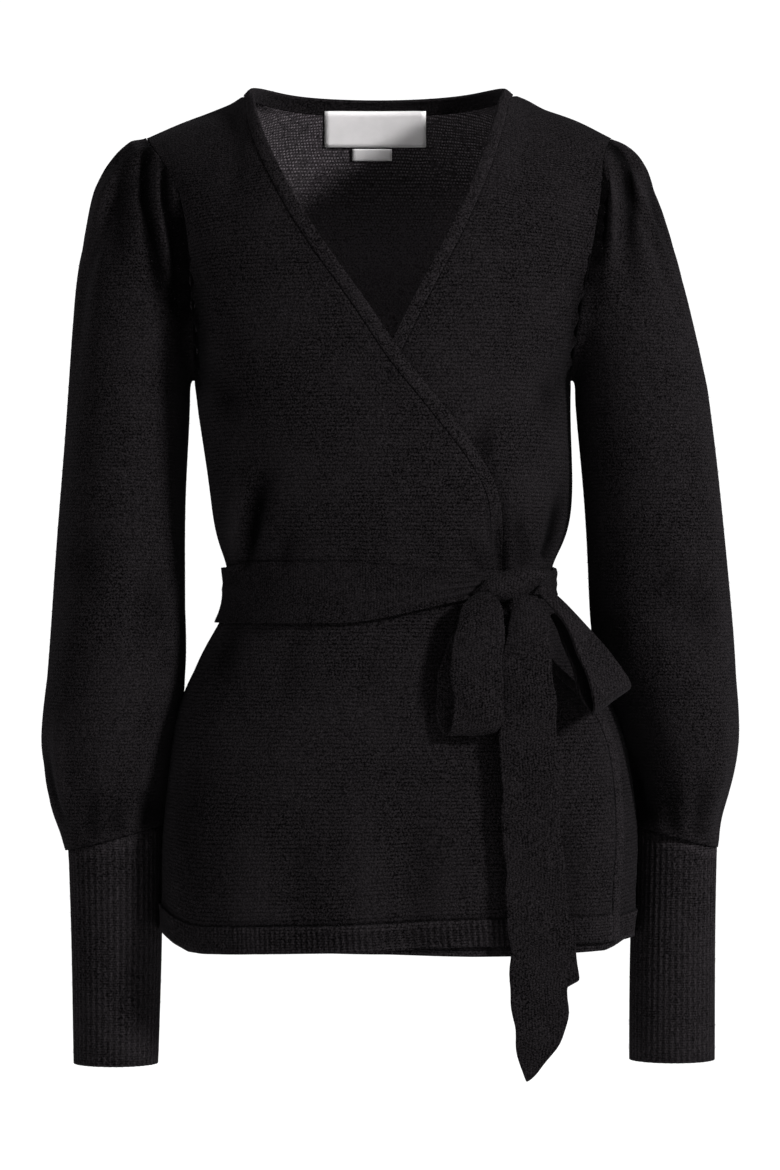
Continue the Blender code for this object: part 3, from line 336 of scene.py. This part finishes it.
def sash_folded(points):
    """The sash follows the folds under it and has its own toward the knot."""
    moved, under = body_folded(points)
    in_front = smooth(0, 20, -points[:, 1])
    deep = np.zeros(len(points))
    for line in SASH_FOLDS:
        deep += in_front * run_of(points[:, [0, 2]], line)
    moved[:, :2] -= out_of_body(points) * deep[:, None]
    # Its upper edge dips at the wearer's right side, and it narrows toward the knot.
    moved[:, 2] -= 4.4 * smooth(96, 124, -points[:, 0]) * smooth(-366, -352, points[:, 2])
    bunched = 0.44 * in_front * smooth(-36, 60, points[:, 0]) * (1 - 0.8 * smooth(84, 112, points[:, 0]))
    moved[:, 2] += bunched * (SASH_MIDDLE - moved[:, 2])
    return moved, under + deep


def arm_axis(arm, heights):
    """Where a sleeve's middle line is at these heights."""
    rows = np.array(ARM_AXIS[arm][::-1], float)
    return np.stack([np.interp(heights, rows[:, 0], rows[:, k]) for k in (1, 2)], axis=1)


def above_cuff(points, arm):
    """Height with the slope of the seam between sleeve and cuff taken out."""
    return points[:, 2] + CUFF_SLOPE * arm * (points[:, 0] - CUFF_MIDDLE[arm])


def arm_folded(points, arm):
    """Folds of one sleeve. They run out where it is sewn on, at its head and at the cuff."""
    axis = arm_axis(arm, points[:, 2])
    out = points[:, :2] - axis
    out = out / np.linalg.norm(out, axis=1, keepdims=True)
    deep = np.zeros(len(points))
    for side in (-1, 1):
        on_side = smooth(-4, 14, side * (points[:, 1] - axis[:, 1]))
        for line in SLEEVE_FOLDS[arm, side]:
            deep += on_side * run_of(points[:, [0, 2]], line)
    fade = smooth(CUFF_SEAM - 1, CUFF_SEAM + 6, above_cuff(points, arm))
    seam = smooth(*SEAM_FADE, distance_to(points, ARMHOLES[arm]))
    deep *= fade
    # Only the cloth's shape is faded at the armhole. The depth that goes back is not, so the painted fold
    # shade runs right up to the seam.
    moved = points.copy()
    moved[:, :2] -= out * (deep * seam)[:, None]
    if arm == RIGHT_ARM:
        inner = smooth(0, 30, points[:, 0] - axis[:, 0])
        moved[:, 0] += inner * np.interp(points[:, 2], *INNER_ARM)
    moved[:, 2] += HEAD_UP[arm] * smooth(-70, -30, points[:, 2]) * seam
    # The lower end closes over the top of the cuff.
    over = 1 - smooth(CUFF_SEAM, CUFF_SEAM + 5.5, above_cuff(points, arm))
    moved[:, :2] += out * (1.1 * over)[:, None]
    moved[:, 2] -= 1.4 * over
    outer = smooth(150, 205, abs(points[:, 0]))
    moved = pushed(moved, SHOULDERS, outer * seam, points[:, 0])
    full = np.interp(points[:, 2], *np.array(BALLOON[::-1], float).T) * fade
    moved[:, :2] += out * full[:, None]
    return moved, deep


def distance_to(points, line):
    """How far each point is from the nearest point of a line."""
    tree = KDTree(len(line))
    for i, place in enumerate(line):
        tree.insert(place, i)
    tree.balance()
    return np.array([tree.find(p)[2] for p in points])


# Where the knit's rows and stitches run, in metres along and up the cloth.

ANGLES = np.linspace(0, 2 * np.pi, 721)
ARCS = np.hypot(np.diff(KNIT_HALF_WIDTH * np.cos(ANGLES)), np.diff(KNIT_HALF_DEPTH * np.sin(ANGLES)))
GIRTH = np.concatenate([[0], np.cumsum(ARCS)])
BODY_TURN = GIRTH[-1] * MM
ARM_TURN = 2 * np.pi * SLEEVE_RADIUS * MM


def body_places(points):
    """Round the body, and up it and over the shoulder."""
    angle = np.arctan2(-points[:, 1] / KNIT_HALF_DEPTH, points[:, 0] / KNIT_HALF_WIDTH) % (2 * np.pi)
    top = KNIT_HALF_DEPTH * np.sqrt(np.clip(1 - (points[:, 0] / 190) ** 2, 0.05, 1))
    over = 90 * (1 - np.minimum(1, abs(points[:, 1]) / top)) * smooth(-150, -70, points[:, 2])
    return np.stack([np.interp(angle, ANGLES, GIRTH), points[:, 2] + over], axis=1) * MM


def arm_places(points, arm):
    """Round a sleeve and up it."""
    off = points[:, :2] - arm_axis(arm, points[:, 2])
    angle = np.arctan2(off[:, 0], -off[:, 1] * 0.8)
    return np.stack([angle * SLEEVE_RADIUS, points[:, 2] * 1.08], axis=1) * MM


def flat_places(points):
    return points[:, [0, 2]] * MM


# Finer cloth on a solid's form

def quads(node, sewn):
    """A solid's mesh in squares, with the corners of its edges marked, crisper where it is sewn on."""
    bm = bmesh.new()
    bm.from_mesh(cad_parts[node].data)
    bmesh.ops.remove_doubles(bm, verts=bm.verts, dist=1e-6)
    bmesh.ops.join_triangles(
        bm, faces=bm.faces, angle_face_threshold=math.radians(45), angle_shape_threshold=math.radians(70)
    )
    crisp = bm.edges.layers.float.new("crease_edge")
    for edge in bm.edges:
        if len(edge.link_faces) == 2 and edge.calc_face_angle() > EDGE_ANGLE:
            edge[crisp] = SEWN_CRISP if sewn else FREE_CRISP
    for face in bm.faces:
        face.smooth = True
    return bm


def armhole(node):
    """The closed outer edge of a sleeve's head, in order round it, a little under its surface."""
    bm = quads(node, True)
    bm.normal_update()
    sharp = bm.edges.layers.float["crease_edge"]
    lowest = -240 * MM
    edges = {e.index: e for e in bm.edges
             if e[sharp] > FREE_CRISP and min(v.co.z for v in e.verts) > lowest}
    lines = []
    while edges:
        edge = edges.pop(min(edges))
        line = [edge.verts[0], edge.verts[1]]
        while True:
            onward = [e for e in line[-1].link_edges if e.index in edges]
            if not onward:
                break
            edges.pop(onward[0].index)
            line.append(onward[0].other_vert(line[-1]))
        points = np.array([v.co for v in line[:-1]]) / MM
        far = np.linalg.norm(np.diff(points, axis=0), axis=1).sum()
        lines.append((far, points - np.array([v.normal for v in line[:-1]]) * SEAM_SUNK))
    bm.free()
    return max(lines, key=lambda pair: pair[0])[1]


def roll(name, line, radius, material):
    """A small rolled seam along a closed line."""
    fine = []
    count = len(line)
    for i in range(count):
        a, b, c, d = (line[(i + k) % count] for k in (-1, 0, 1, 2))
        # Four points to each part of a Catmull-Rom curve.
        for t in (0, 0.25, 0.5, 0.75):
            fine.append(0.5 * (2 * b + (c - a) * t + (2 * a - 5 * b + 4 * c - d) * t * t
                               + (3 * b - 3 * c + d - a) * t**3))
    fine = np.array(fine)
    along = np.roll(fine, -1, axis=0) - np.roll(fine, 1, axis=0)
    along /= np.linalg.norm(along, axis=1, keepdims=True)
    away = fine - fine.mean(axis=0)
    away -= along * np.sum(away * along, axis=1, keepdims=True)
    away /= np.linalg.norm(away, axis=1, keepdims=True)
    third = np.cross(along, away)
    rows, sides = len(fine), 8
    side_width = radius * 0.785 * MM
    turns = np.linspace(0, 2 * math.pi, sides, endpoint=False)
    wide = radius * (1 + 0.12 * np.sin(np.arange(rows) * 1.9) + 0.08 * np.sin(np.arange(rows) * 0.7))
    ring = np.cos(turns)[None, :, None] * away[:, None] + np.sin(turns)[None, :, None] * third[:, None]
    points = fine[:, None] + ring * wide[:, None, None]
    faces = []
    for r in range(rows):
        for s in range(sides):
            here, there = r * sides, (r + 1) % rows * sides
            faces.append((here + s, here + (s + 1) % sides, there + (s + 1) % sides, there + s))
    mesh = bpy.data.meshes.new(name)
    mesh.from_pydata((points.reshape(-1, 3) * MM).tolist(), [], faces)
    far = np.concatenate([[0], np.cumsum(np.linalg.norm(np.diff(fine, axis=0), axis=1))]) * MM
    # Painted shade: toward the underarm it is given the fold value of a deep fold, which the material paints
    # dark.
    shade = 4.5 * smooth(-70, -140, fine[:, 2])
    mesh.attributes.new("fold", "FLOAT", "POINT").data.foreach_set("value", np.repeat(shade, sides))
    layer = mesh.uv_layers.new(name="knit")
    for face in mesh.polygons:
        face.use_smooth = True
        for k in face.loop_indices:
            vertex = mesh.loops[k].vertex_index
            layer.data[k].uv = (far[vertex // sides], vertex % sides * side_width)
    return add(name, mesh, material)


def rib_crests(points, axis, pitch):
    """Finds ribs as what stands out of a smooth wall, makes them fuller and gives how high each point is."""
    off = points[:, :2] - axis
    reach = np.linalg.norm(off, axis=1)
    angle = np.arctan2(off[:, 1], off[:, 0])
    crest = np.zeros(len(points))
    level = np.round(points[:, 2] / RIB_BAND)
    for value in np.unique(level):
        here = np.flatnonzero(level == value)
        far = reach[here]
        arc = angle[here] * far.mean()
        order = np.argsort(arc)
        arc, far, here = arc[order], far[order], here[order]
        low = np.searchsorted(arc, arc - pitch * 0.75)
        high = np.searchsorted(arc, arc + pitch * 0.75)
        for k in range(len(here)):
            near = far[low[k] : high[k]]
            near = near[abs(near - far[k]) < SAME_FACE]
            crest[here[k]] = far[k] - (near.max() + near.min()) / 2
    moved = points.copy()
    moved[:, :2] += off / reach[:, None] * (crest * RIB_GROWTH)[:, None]
    return moved, crest


def hem_ribs(points):
    """The ribs of a hem, whose top closes up under its panel."""
    moved, crest = rib_crests(points, np.zeros(2), HEM_RIB_PITCH)
    top = points[:, 2].max()
    moved[:, 2] += 0.8 * smooth(top - 5, top, points[:, 2])
    return moved, crest


def add(name, mesh, material):
    """Puts a mesh in the scene as a piece of the cardigan."""
    piece = bpy.data.objects.new(name, mesh)
    bpy.context.scene.collection.objects.link(piece)
    mesh.materials.clear()
    mesh.materials.append(material)
    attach(piece, "root")
    return piece


def cloth(node, levels, material, fold=None, places=flat_places, turn=None, ribs=None, sewn=True, grow=0.0):
    """A solid's finer cloth, which takes its place: subdivided, fuller, ribbed and folded.

    Its material reads the layer "knit" and the attributes "inside", "crest" and "fold". On a tube, the layer
    goes on by one turn where it would jump back.
    """
    bm = quads(node, sewn)
    rough = bpy.data.meshes.new("rough")
    bm.to_mesh(rough)
    bm.free()
    holder = bpy.data.objects.new("rough", rough)
    bpy.context.scene.collection.objects.link(holder)
    finer = holder.modifiers.new("finer", "SUBSURF")
    finer.levels = levels
    graph = bpy.context.evaluated_depsgraph_get()
    mesh = bpy.data.meshes.new_from_object(holder.evaluated_get(graph))
    bpy.data.objects.remove(holder)
    mesh.name = "knit_" + node
    points = np.zeros(len(mesh.vertices) * 3)
    mesh.vertices.foreach_get("co", points)
    points = points.reshape(-1, 3) / MM
    place = places(points)
    normals = np.zeros(len(points) * 3)
    mesh.vertices.foreach_get("normal", normals)
    normals = normals.reshape(-1, 3)
    # Points that face into the body, where the back's material paints light.
    outward = normals[:, 0] * points[:, 0] / HALF_WIDTH**2 + normals[:, 1] * points[:, 1] / HALF_DEPTH**2
    mesh.attributes.new("inside", "FLOAT", "POINT").data.foreach_set("value", 1.0 * (outward < 0))
    points += normals * grow
    if ribs is not None:
        points, crest = ribs(points)
        mesh.attributes.new("crest", "FLOAT", "POINT").data.foreach_set("value", crest)
    deep = np.zeros(len(points))
    if fold is not None:
        points, deep = fold(points)
    # The fold depth goes on to the material, which paints shade into the valleys and highlights onto the
    # ridges.
    mesh.attributes.new("fold", "FLOAT", "POINT").data.foreach_set("value", deep)
    mesh.vertices.foreach_set("co", (points * MM).ravel())
    ends = np.zeros(len(mesh.loops), int)
    mesh.loops.foreach_get("vertex_index", ends)
    spots = place[ends].reshape(-1, 4, 2)
    if turn is not None:
        last = spots[..., 0].max(axis=1, keepdims=True)
        spots[..., 0] += turn * (last - spots[..., 0] > turn / 2)
    mesh.uv_layers.new(name="knit").data.foreach_set("uv", spots.ravel())
    mesh.update()
    piece = add("knit_" + node, mesh, material)
    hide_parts(node)
    return piece


def fuzz(name, pieces, count, long, material):
    """Short fibres that stand out of the cloth, each a thin spike leaning its own way."""
    centres, normals, areas = [], [], []
    for piece in pieces:
        faces = len(piece.data.polygons)
        for store, key, width in ((centres, "center", 3), (normals, "normal", 3), (areas, "area", 1)):
            values = np.zeros(faces * width)
            piece.data.polygons.foreach_get(key, values)
            store.append(values.reshape(faces, width))
    centres, normals, areas = (np.concatenate(x) for x in (centres, normals, areas))
    share = areas[:, 0] / areas.sum()
    at = RANDOM.choice(len(share), size=count, p=share)
    size = np.sqrt(areas[at])
    jitter = RANDOM.normal(size=(count, 3))
    jitter -= normals[at] * np.sum(jitter * normals[at], axis=1, keepdims=True)
    root = centres[at] + jitter * size * 0.4
    lean = RANDOM.normal(size=(count, 3))
    way = normals[at] * RANDOM.uniform(0.5, 1.3, (count, 1)) + lean * 0.75
    way /= np.linalg.norm(way, axis=1, keepdims=True)
    tall = RANDOM.uniform(0.35, 1, (count, 1)) ** 1.6 * long * MM
    side = np.cross(way, RANDOM.normal(size=(count, 3)))
    side /= np.linalg.norm(side, axis=1, keepdims=True)
    other = np.cross(way, side)
    wide = FIBRE_RADIUS * MM
    turns = [0, 2 * np.pi / 3, 4 * np.pi / 3]
    base = [root - way * 0.3 * MM + wide * (math.cos(t) * side + math.sin(t) * other) for t in turns]
    points = np.stack([*base, root + way * tall], axis=1).reshape(-1, 3)
    first = np.arange(count)[:, None, None] * 4
    faces = (first + np.array([[0, 1, 3], [1, 2, 3], [2, 0, 3]])[None]).reshape(-1, 3)
    mesh = bpy.data.meshes.new(name)
    mesh.vertices.add(len(points))
    mesh.vertices.foreach_set("co", points.ravel())
    mesh.loops.add(faces.size)
    mesh.loops.foreach_set("vertex_index", faces.ravel())
    mesh.polygons.add(len(faces))
    mesh.polygons.foreach_set("loop_start", np.arange(len(faces)) * 3)
    mesh.update(calc_edges=True)
    return add(name, mesh, material)


# Materials

class Graph:
    """Short calls that add and join a material's nodes."""

    def __init__(self, name):
        self.material = bpy.data.materials.new(name)
        self.material.use_nodes = True
        self.tree = self.material.node_tree
        self.shader = self.tree.nodes["Principled BSDF"]

    def node(self, kind, inputs=(), **settings):
        node = self.tree.nodes.new(kind)
        for key, value in settings.items():
            setattr(node, key, value)
        for key, value in dict(inputs).items():
            self.set(node.inputs[key], value)
        return node

    def set(self, socket, value):
        if isinstance(value, bpy.types.NodeSocket):
            self.tree.links.new(value, socket)
        else:
            socket.default_value = value

    def math(self, operation, *values):
        return self.node("ShaderNodeMath", dict(enumerate(values)), operation=operation).outputs[0]

    def noise(self, scale, detail=2.0, vector=None, stretch=None):
        where = vector or self.node("ShaderNodeTexCoord").outputs["Object"]
        if stretch:
            where = self.node("ShaderNodeMapping", {"Vector": where, "Scale": stretch}).outputs[0]
        inputs = {"Vector": where, "Scale": scale, "Detail": detail}
        return self.node("ShaderNodeTexNoise", inputs).outputs["Fac"]

    def mix(self, share, a, b):
        node = self.node("ShaderNodeMix", data_type="RGBA")
        self.set(node.inputs["Factor"], share)
        self.set(node.inputs[6], a)
        self.set(node.inputs[7], b)
        return node.outputs[2]

    def spread(self, value, low, high, to_low=0.0, to_high=1.0):
        return self.node("ShaderNodeMapRange", {0: value, 1: low, 2: high, 3: to_low, 4: to_high}).outputs[0]


def black(value):
    """A near black, faintly warm."""
    return (value, value * 0.88, value * 0.96, 1)


def knit(name, row=2.7, stitch=2.1, turned=False, depth=0.55, dark=0.0002, light=0.0031, specks=0.014,
         rows_show=0.19, ribbed=False, painted_inside_light=False):
    """Fuzzy knit: staggered stitches in rows, fibre noise, and pale hairs lying on them, with painted shade
    in hollows, fold valleys and rib valleys, painted highlights on fold ridges and, when asked, painted light
    on the inside.
    """
    g = Graph(name)
    place = g.node("ShaderNodeSeparateXYZ", {0: g.node("ShaderNodeUVMap", uv_map="knit").outputs[0]})
    along, up = (1, 0) if turned else (0, 1)
    wobble = g.math("MULTIPLY", g.math("SUBTRACT", g.noise(90, 2), 0.5), 0.9)
    rows = g.math("ADD", g.math("DIVIDE", place.outputs[up], row * MM), wobble)
    odd = g.math("MULTIPLY", g.math("FLOORED_MODULO", g.math("FLOOR", rows), 2.0), 0.5)
    columns = g.math("ADD", g.math("DIVIDE", place.outputs[along], stitch * MM), odd)
    columns = g.math("ADD", columns, g.math("MULTIPLY", g.math("SUBTRACT", g.noise(160, 1), 0.5), 0.7))
    across_row = g.math("SINE", g.math("MULTIPLY", g.math("FRACT", rows), math.pi))
    in_stitch = g.math("SINE", g.math("MULTIPLY", g.math("FRACT", columns), math.pi))
    bump = g.math("MULTIPLY", across_row, g.math("MULTIPLY_ADD", in_stitch, 0.6, 0.4))
    fibre = g.noise(1500, 3)
    coarse = g.spread(g.noise(860, 2), 0.28, 0.72)
    height = g.math("ADD", g.math("MULTIPLY", bump, rows_show + 0.04), g.math("MULTIPLY", fibre, 0.24))
    height = g.math("ADD", height, g.math("MULTIPLY", coarse, 0.72 - rows_show))
    relief = g.node("ShaderNodeBump", {"Height": height, "Distance": depth * MM, "Strength": 1.0})
    g.set(g.shader.inputs["Normal"], relief.outputs[0])
    # Darker where the knit is low: partly random fibre tone, partly painted shade in the hollows between rows
    # and stitches.
    colour = g.mix(g.spread(height, 0.32, 0.74), black(dark), black(light))
    patches = g.spread(g.noise(24, 2), 0.4, 0.75)
    colour = g.mix(g.math("MULTIPLY", patches, 0.2), colour, black(light * 1.2))
    hairs = g.spread(g.noise(700, 4, stretch=(1.0, 1.0, 2.6)), 0.62, 0.74)
    colour = g.mix(g.math("MULTIPLY", hairs, 0.42), colour, black(specks))
    fold = g.node("ShaderNodeAttribute", attribute_name="fold").outputs["Fac"]
    # Painted shade: darker down in the valleys of folds.
    colour = g.mix(g.spread(fold, 0.5, 4.6, 0.0, 0.9), colour, black(dark * 0.5))
    # Painted highlight: lighter on ridges that stand out.
    colour = g.mix(g.spread(fold, -3.0, -0.4, 0.3, 0.0), colour, black(light * 1.7))
    if ribbed:
        crest = g.node("ShaderNodeAttribute", attribute_name="crest").outputs["Fac"]
        # Painted shade: darker in the valleys between ribs.
        colour = g.mix(g.spread(crest, -0.25, 0.3, 0.6, 0.0), colour, black(dark * 0.5))
    if painted_inside_light:
        # Painted light on the inside of the cloth.
        high = g.node("ShaderNodeSeparateXYZ", {0: g.node("ShaderNodeTexCoord").outputs["Object"]}).outputs[2]
        inner = g.node("ShaderNodeAttribute", attribute_name="inside").outputs["Fac"]
        # Painted light: pale dots on the stitches where light shines through the knit, strongest toward the
        # top.
        loops = g.math("MULTIPLY", g.spread(bump, 0.62, 0.92), g.spread(g.noise(340, 2), 0.36, 0.56))
        pale = g.math("MULTIPLY", loops, g.spread(high, -0.15, -0.04, 0.04, 0.72))
        # Painted light: the lower inside, which lies in shadow, is painted lighter in blotches.
        blotches = g.spread(coarse, 0.1, 0.8, 0.25, 1.0)
        lower = g.math("MULTIPLY", blotches, g.spread(high, -0.115, -0.06, 1.0, 0.3))
        colour = g.mix(g.math("MULTIPLY", inner, lower), colour, black(light * 9))
        colour = g.mix(g.math("MULTIPLY", pale, inner), colour, black(0.05))
    g.set(g.shader.inputs["Base Color"], colour)
    g.shader.inputs["Roughness"].default_value = 0.9
    g.shader.inputs["Specular IOR Level"].default_value = 0.0
    g.shader.inputs["Sheen Weight"].default_value = 0.004
    g.shader.inputs["Sheen Roughness"].default_value = 0.45
    g.shader.inputs["Sheen Tint"].default_value = (0.8, 0.78, 0.84, 1)
    return g.material


def hair_material():
    """Fibres, from black to dark grey."""
    g = Graph("wool_fibres")
    colour = g.mix(g.spread(g.noise(260, 2), 0.3, 0.7), black(0.0016), black(0.015))
    g.set(g.shader.inputs["Base Color"], colour)
    g.shader.inputs["Roughness"].default_value = 0.8
    g.shader.inputs["Specular IOR Level"].default_value = 0.0
    return g.material


def label_material():
    """Bare satin weave: fine close threads, slightly glossy, warm white."""
    g = Graph("woven_label")
    place = g.node("ShaderNodeSeparateXYZ", {0: g.node("ShaderNodeUVMap", uv_map="knit").outputs[0]})
    warp = g.math("SINE", g.math("MULTIPLY", place.outputs[0], 2 * math.pi / (0.32 * MM)))
    weft = g.math("SINE", g.math("MULTIPLY", place.outputs[1], 2 * math.pi / (0.42 * MM)))
    weave = g.math("MULTIPLY", warp, weft)
    relief = g.node("ShaderNodeBump", {"Height": weave, "Distance": 0.05 * MM, "Strength": 0.7})
    g.set(g.shader.inputs["Normal"], relief.outputs[0])
    tone = g.math("ADD", g.math("MULTIPLY", weave, 0.12), g.spread(g.noise(120, 3), 0.3, 0.7, 0.2, 0.6))
    g.set(g.shader.inputs["Base Color"], g.mix(tone, (0.185, 0.179, 0.18, 1), (0.15, 0.145, 0.146, 1)))
    g.shader.inputs["Roughness"].default_value = 0.45
    g.shader.inputs["Sheen Weight"].default_value = 0.2
    return g.material


BODY_KNIT = knit("fuzzy_garter_knit")
# The back's knit has painted light on its inside: pale dots where light shines through, and a lighter lower
# part that lies in shadow.
BACK_KNIT = knit("fuzzy_garter_knit_back", row=3.1, stitch=2.6, painted_inside_light=True)
ARM_KNIT = knit("fuzzy_sleeve_knit", stitch=2.3, rows_show=0.15)
RIB_KNIT = knit("fuzzy_rib_knit", row=1.9, stitch=2.25, depth=0.4, light=0.0048, ribbed=True)
# Painted light: the cuffs have the hem's rib knit, painted lighter because less light reaches them.
CUFF_KNIT_PAINTED_LIGHTER = knit("fuzzy_cuff_knit_painted_lighter", row=1.9, stitch=2.25, depth=0.4, light=0.0062, ribbed=True)
SASH_KNIT = knit("fuzzy_sash_knit", row=2.1, stitch=1.8, turned=True, depth=0.4, light=0.0031, rows_show=0.14)
BELT_KNIT = knit("fuzzy_belt_knit", row=2.1, stitch=1.8, turned=True, depth=0.4, light=0.0025, rows_show=0.14)
EDGE_KNIT = knit("rolled_edge_knit", row=2.0, stitch=2.0, depth=0.4, light=0.0037, rows_show=0.1)
HAIRS = hair_material()
LABELS = label_material()

# The pieces

ARMHOLES = {RIGHT_ARM: armhole("sleeve_right"), LEFT_ARM: armhole("sleeve_left")}
PIECES = {}
BODY = {"places": body_places, "turn": BODY_TURN}
for node, material, fold in (
    ("back", BACK_KNIT, body_folded),
    ("front_left", BODY_KNIT, body_folded),
    ("front_right", BODY_KNIT, top_folded),
):
    PIECES[node] = cloth(node, MORE_LEVELS, material, over_hem(fold), **BODY)
for node, fold in (
    ("back_hem_rib", body_folded),
    ("front_left_hem_rib", body_folded),
    ("front_right_hem_rib", top_folded),
):
    PIECES[node] = cloth(node, FEWER_LEVELS, RIB_KNIT, fold, ribs=hem_ribs, grow=FULLER, **BODY)
PIECES["neck_band"] = cloth("neck_band", MORE_LEVELS, EDGE_KNIT, band_folded, sewn=False, grow=FULLER,
                            **BODY)
PIECES["belt"] = cloth("belt", MORE_LEVELS, BELT_KNIT, sash_folded, sewn=False, **BODY)
ARMS = (("right", RIGHT_ARM), ("left", LEFT_ARM))
for end, arm in ARMS:
    def folded(points, arm=arm):
        return arm_folded(points, arm)

    def placed(points, arm=arm):
        return arm_places(points, arm)

    def ribbed(points, arm=arm):
        moved, crest = rib_crests(points, arm_axis(arm, points[:, 2]), CUFF_RIB_PITCH)
        moved[:, 2] += 0.8 * smooth(CUFF_SEAM - 5, CUFF_SEAM, above_cuff(points, arm))
        return moved, crest

    sleeve, cuff = "sleeve_" + end, "cuff_" + end
    PIECES[sleeve] = cloth(sleeve, MORE_LEVELS, ARM_KNIT, folded, placed, ARM_TURN)
    PIECES[cuff] = cloth(cuff, FEWER_LEVELS, CUFF_KNIT_PAINTED_LIGHTER, None, placed, ARM_TURN, ribbed, grow=FULLER)
for end, arm in ARMS:
    roll("seam_armhole_" + end, ARMHOLES[arm], SEAM_RADIUS, ARM_KNIT)
for node in ("belt_knot", "bow_loop_right", "bow_loop_left", "tail_front", "tail_back"):
    PIECES[node] = cloth(node, MORE_LEVELS, SASH_KNIT, ribbon_folded, sewn=False)
PIECES["neck_label"] = cloth("neck_label", FEWER_LEVELS, LABELS, label_folded)
PIECES["size_tag"] = cloth("size_tag", FEWER_LEVELS, LABELS, tag_folded)

# Fuzz: how many fibres, and how long the longest are.
fuzz("fuzz_body", [PIECES[n] for n in ("back", "front_right", "front_left")], 60000, 2.0, HAIRS)
fuzz("fuzz_sleeves", [PIECES["sleeve_right"], PIECES["sleeve_left"]], 56000, 2.2, HAIRS)
trims = ("back_hem_rib", "front_right_hem_rib", "neck_band", "belt", "cuff_right", "cuff_left",
         "belt_knot", "bow_loop_right", "bow_loop_left", "tail_front", "tail_back")
fuzz("fuzz_trims", [PIECES[n] for n in trims], 50000, 1.8, HAIRS)


# The studio

AIM = (0, 0, -0.35)


def area_light(name, place, size, power):
    """A square lamp that points at the middle of the cardigan."""
    data = bpy.data.lights.new(name, "AREA")
    data.size = size
    data.energy = power
    lamp = bpy.data.objects.new(name, data)
    lamp.location = place
    off = [a - p for a, p in zip(AIM, place)]
    flat = math.hypot(off[0], off[1])
    lamp.rotation_euler = (math.atan2(flat, -off[2]), 0, math.atan2(off[1], off[0]) - math.pi / 2)
    bpy.context.scene.collection.objects.link(lamp)


area_light("key", (2.55, -2.0, 1.0), 0.5, 700)
area_light("fill", (-2.2, -2.2, 0.3), 1.6, 85)
area_light("back_left", (-1.9, 1.6, 0.6), 1.2, 110)
area_light("back_right", (1.9, 1.6, 0.6), 1.2, 160)

world = bpy.data.worlds.new("studio")
world.use_nodes = True
sky = world.node_tree.nodes["Background"]
sky.inputs["Color"].default_value = (1, 1, 1, 1)
sky.inputs["Strength"].default_value = 1.08
bpy.context.scene.world = world

FLOOR_REACH, FLOOR_HEIGHT = 9, -1.42
corners = [(x * FLOOR_REACH, y * FLOOR_REACH, FLOOR_HEIGHT) for x, y in ((-1, -1), (1, -1), (1, 1), (-1, 1))]
floor_mesh = bpy.data.meshes.new("floor")
floor_mesh.from_pydata(corners, [], [(0, 1, 2, 3)])
floor = bpy.data.objects.new("floor", floor_mesh)
bpy.context.scene.collection.objects.link(floor)
paper = Graph("pale_paper")
tone = paper.mix(paper.noise(6, 2), (0.93, 0.93, 0.93, 1), (0.9, 0.9, 0.9, 1))
paper.set(paper.shader.inputs["Base Color"], tone)
paper.shader.inputs["Roughness"].default_value = 0.9
floor_mesh.materials.append(paper.material)

lens = bpy.data.cameras.new("camera")
lens.sensor_fit = "VERTICAL"
lens.sensor_height = 36
lens.lens = 134.9
lens.clip_end = 60
camera = bpy.data.objects.new("camera", lens)
camera.location = (0.0015, -3.2, -0.363)
camera.rotation_euler = (math.radians(90), 0, 0)
bpy.context.scene.collection.objects.link(camera)
bpy.context.scene.camera = camera
bpy.context.scene.view_settings.view_transform = "Standard"
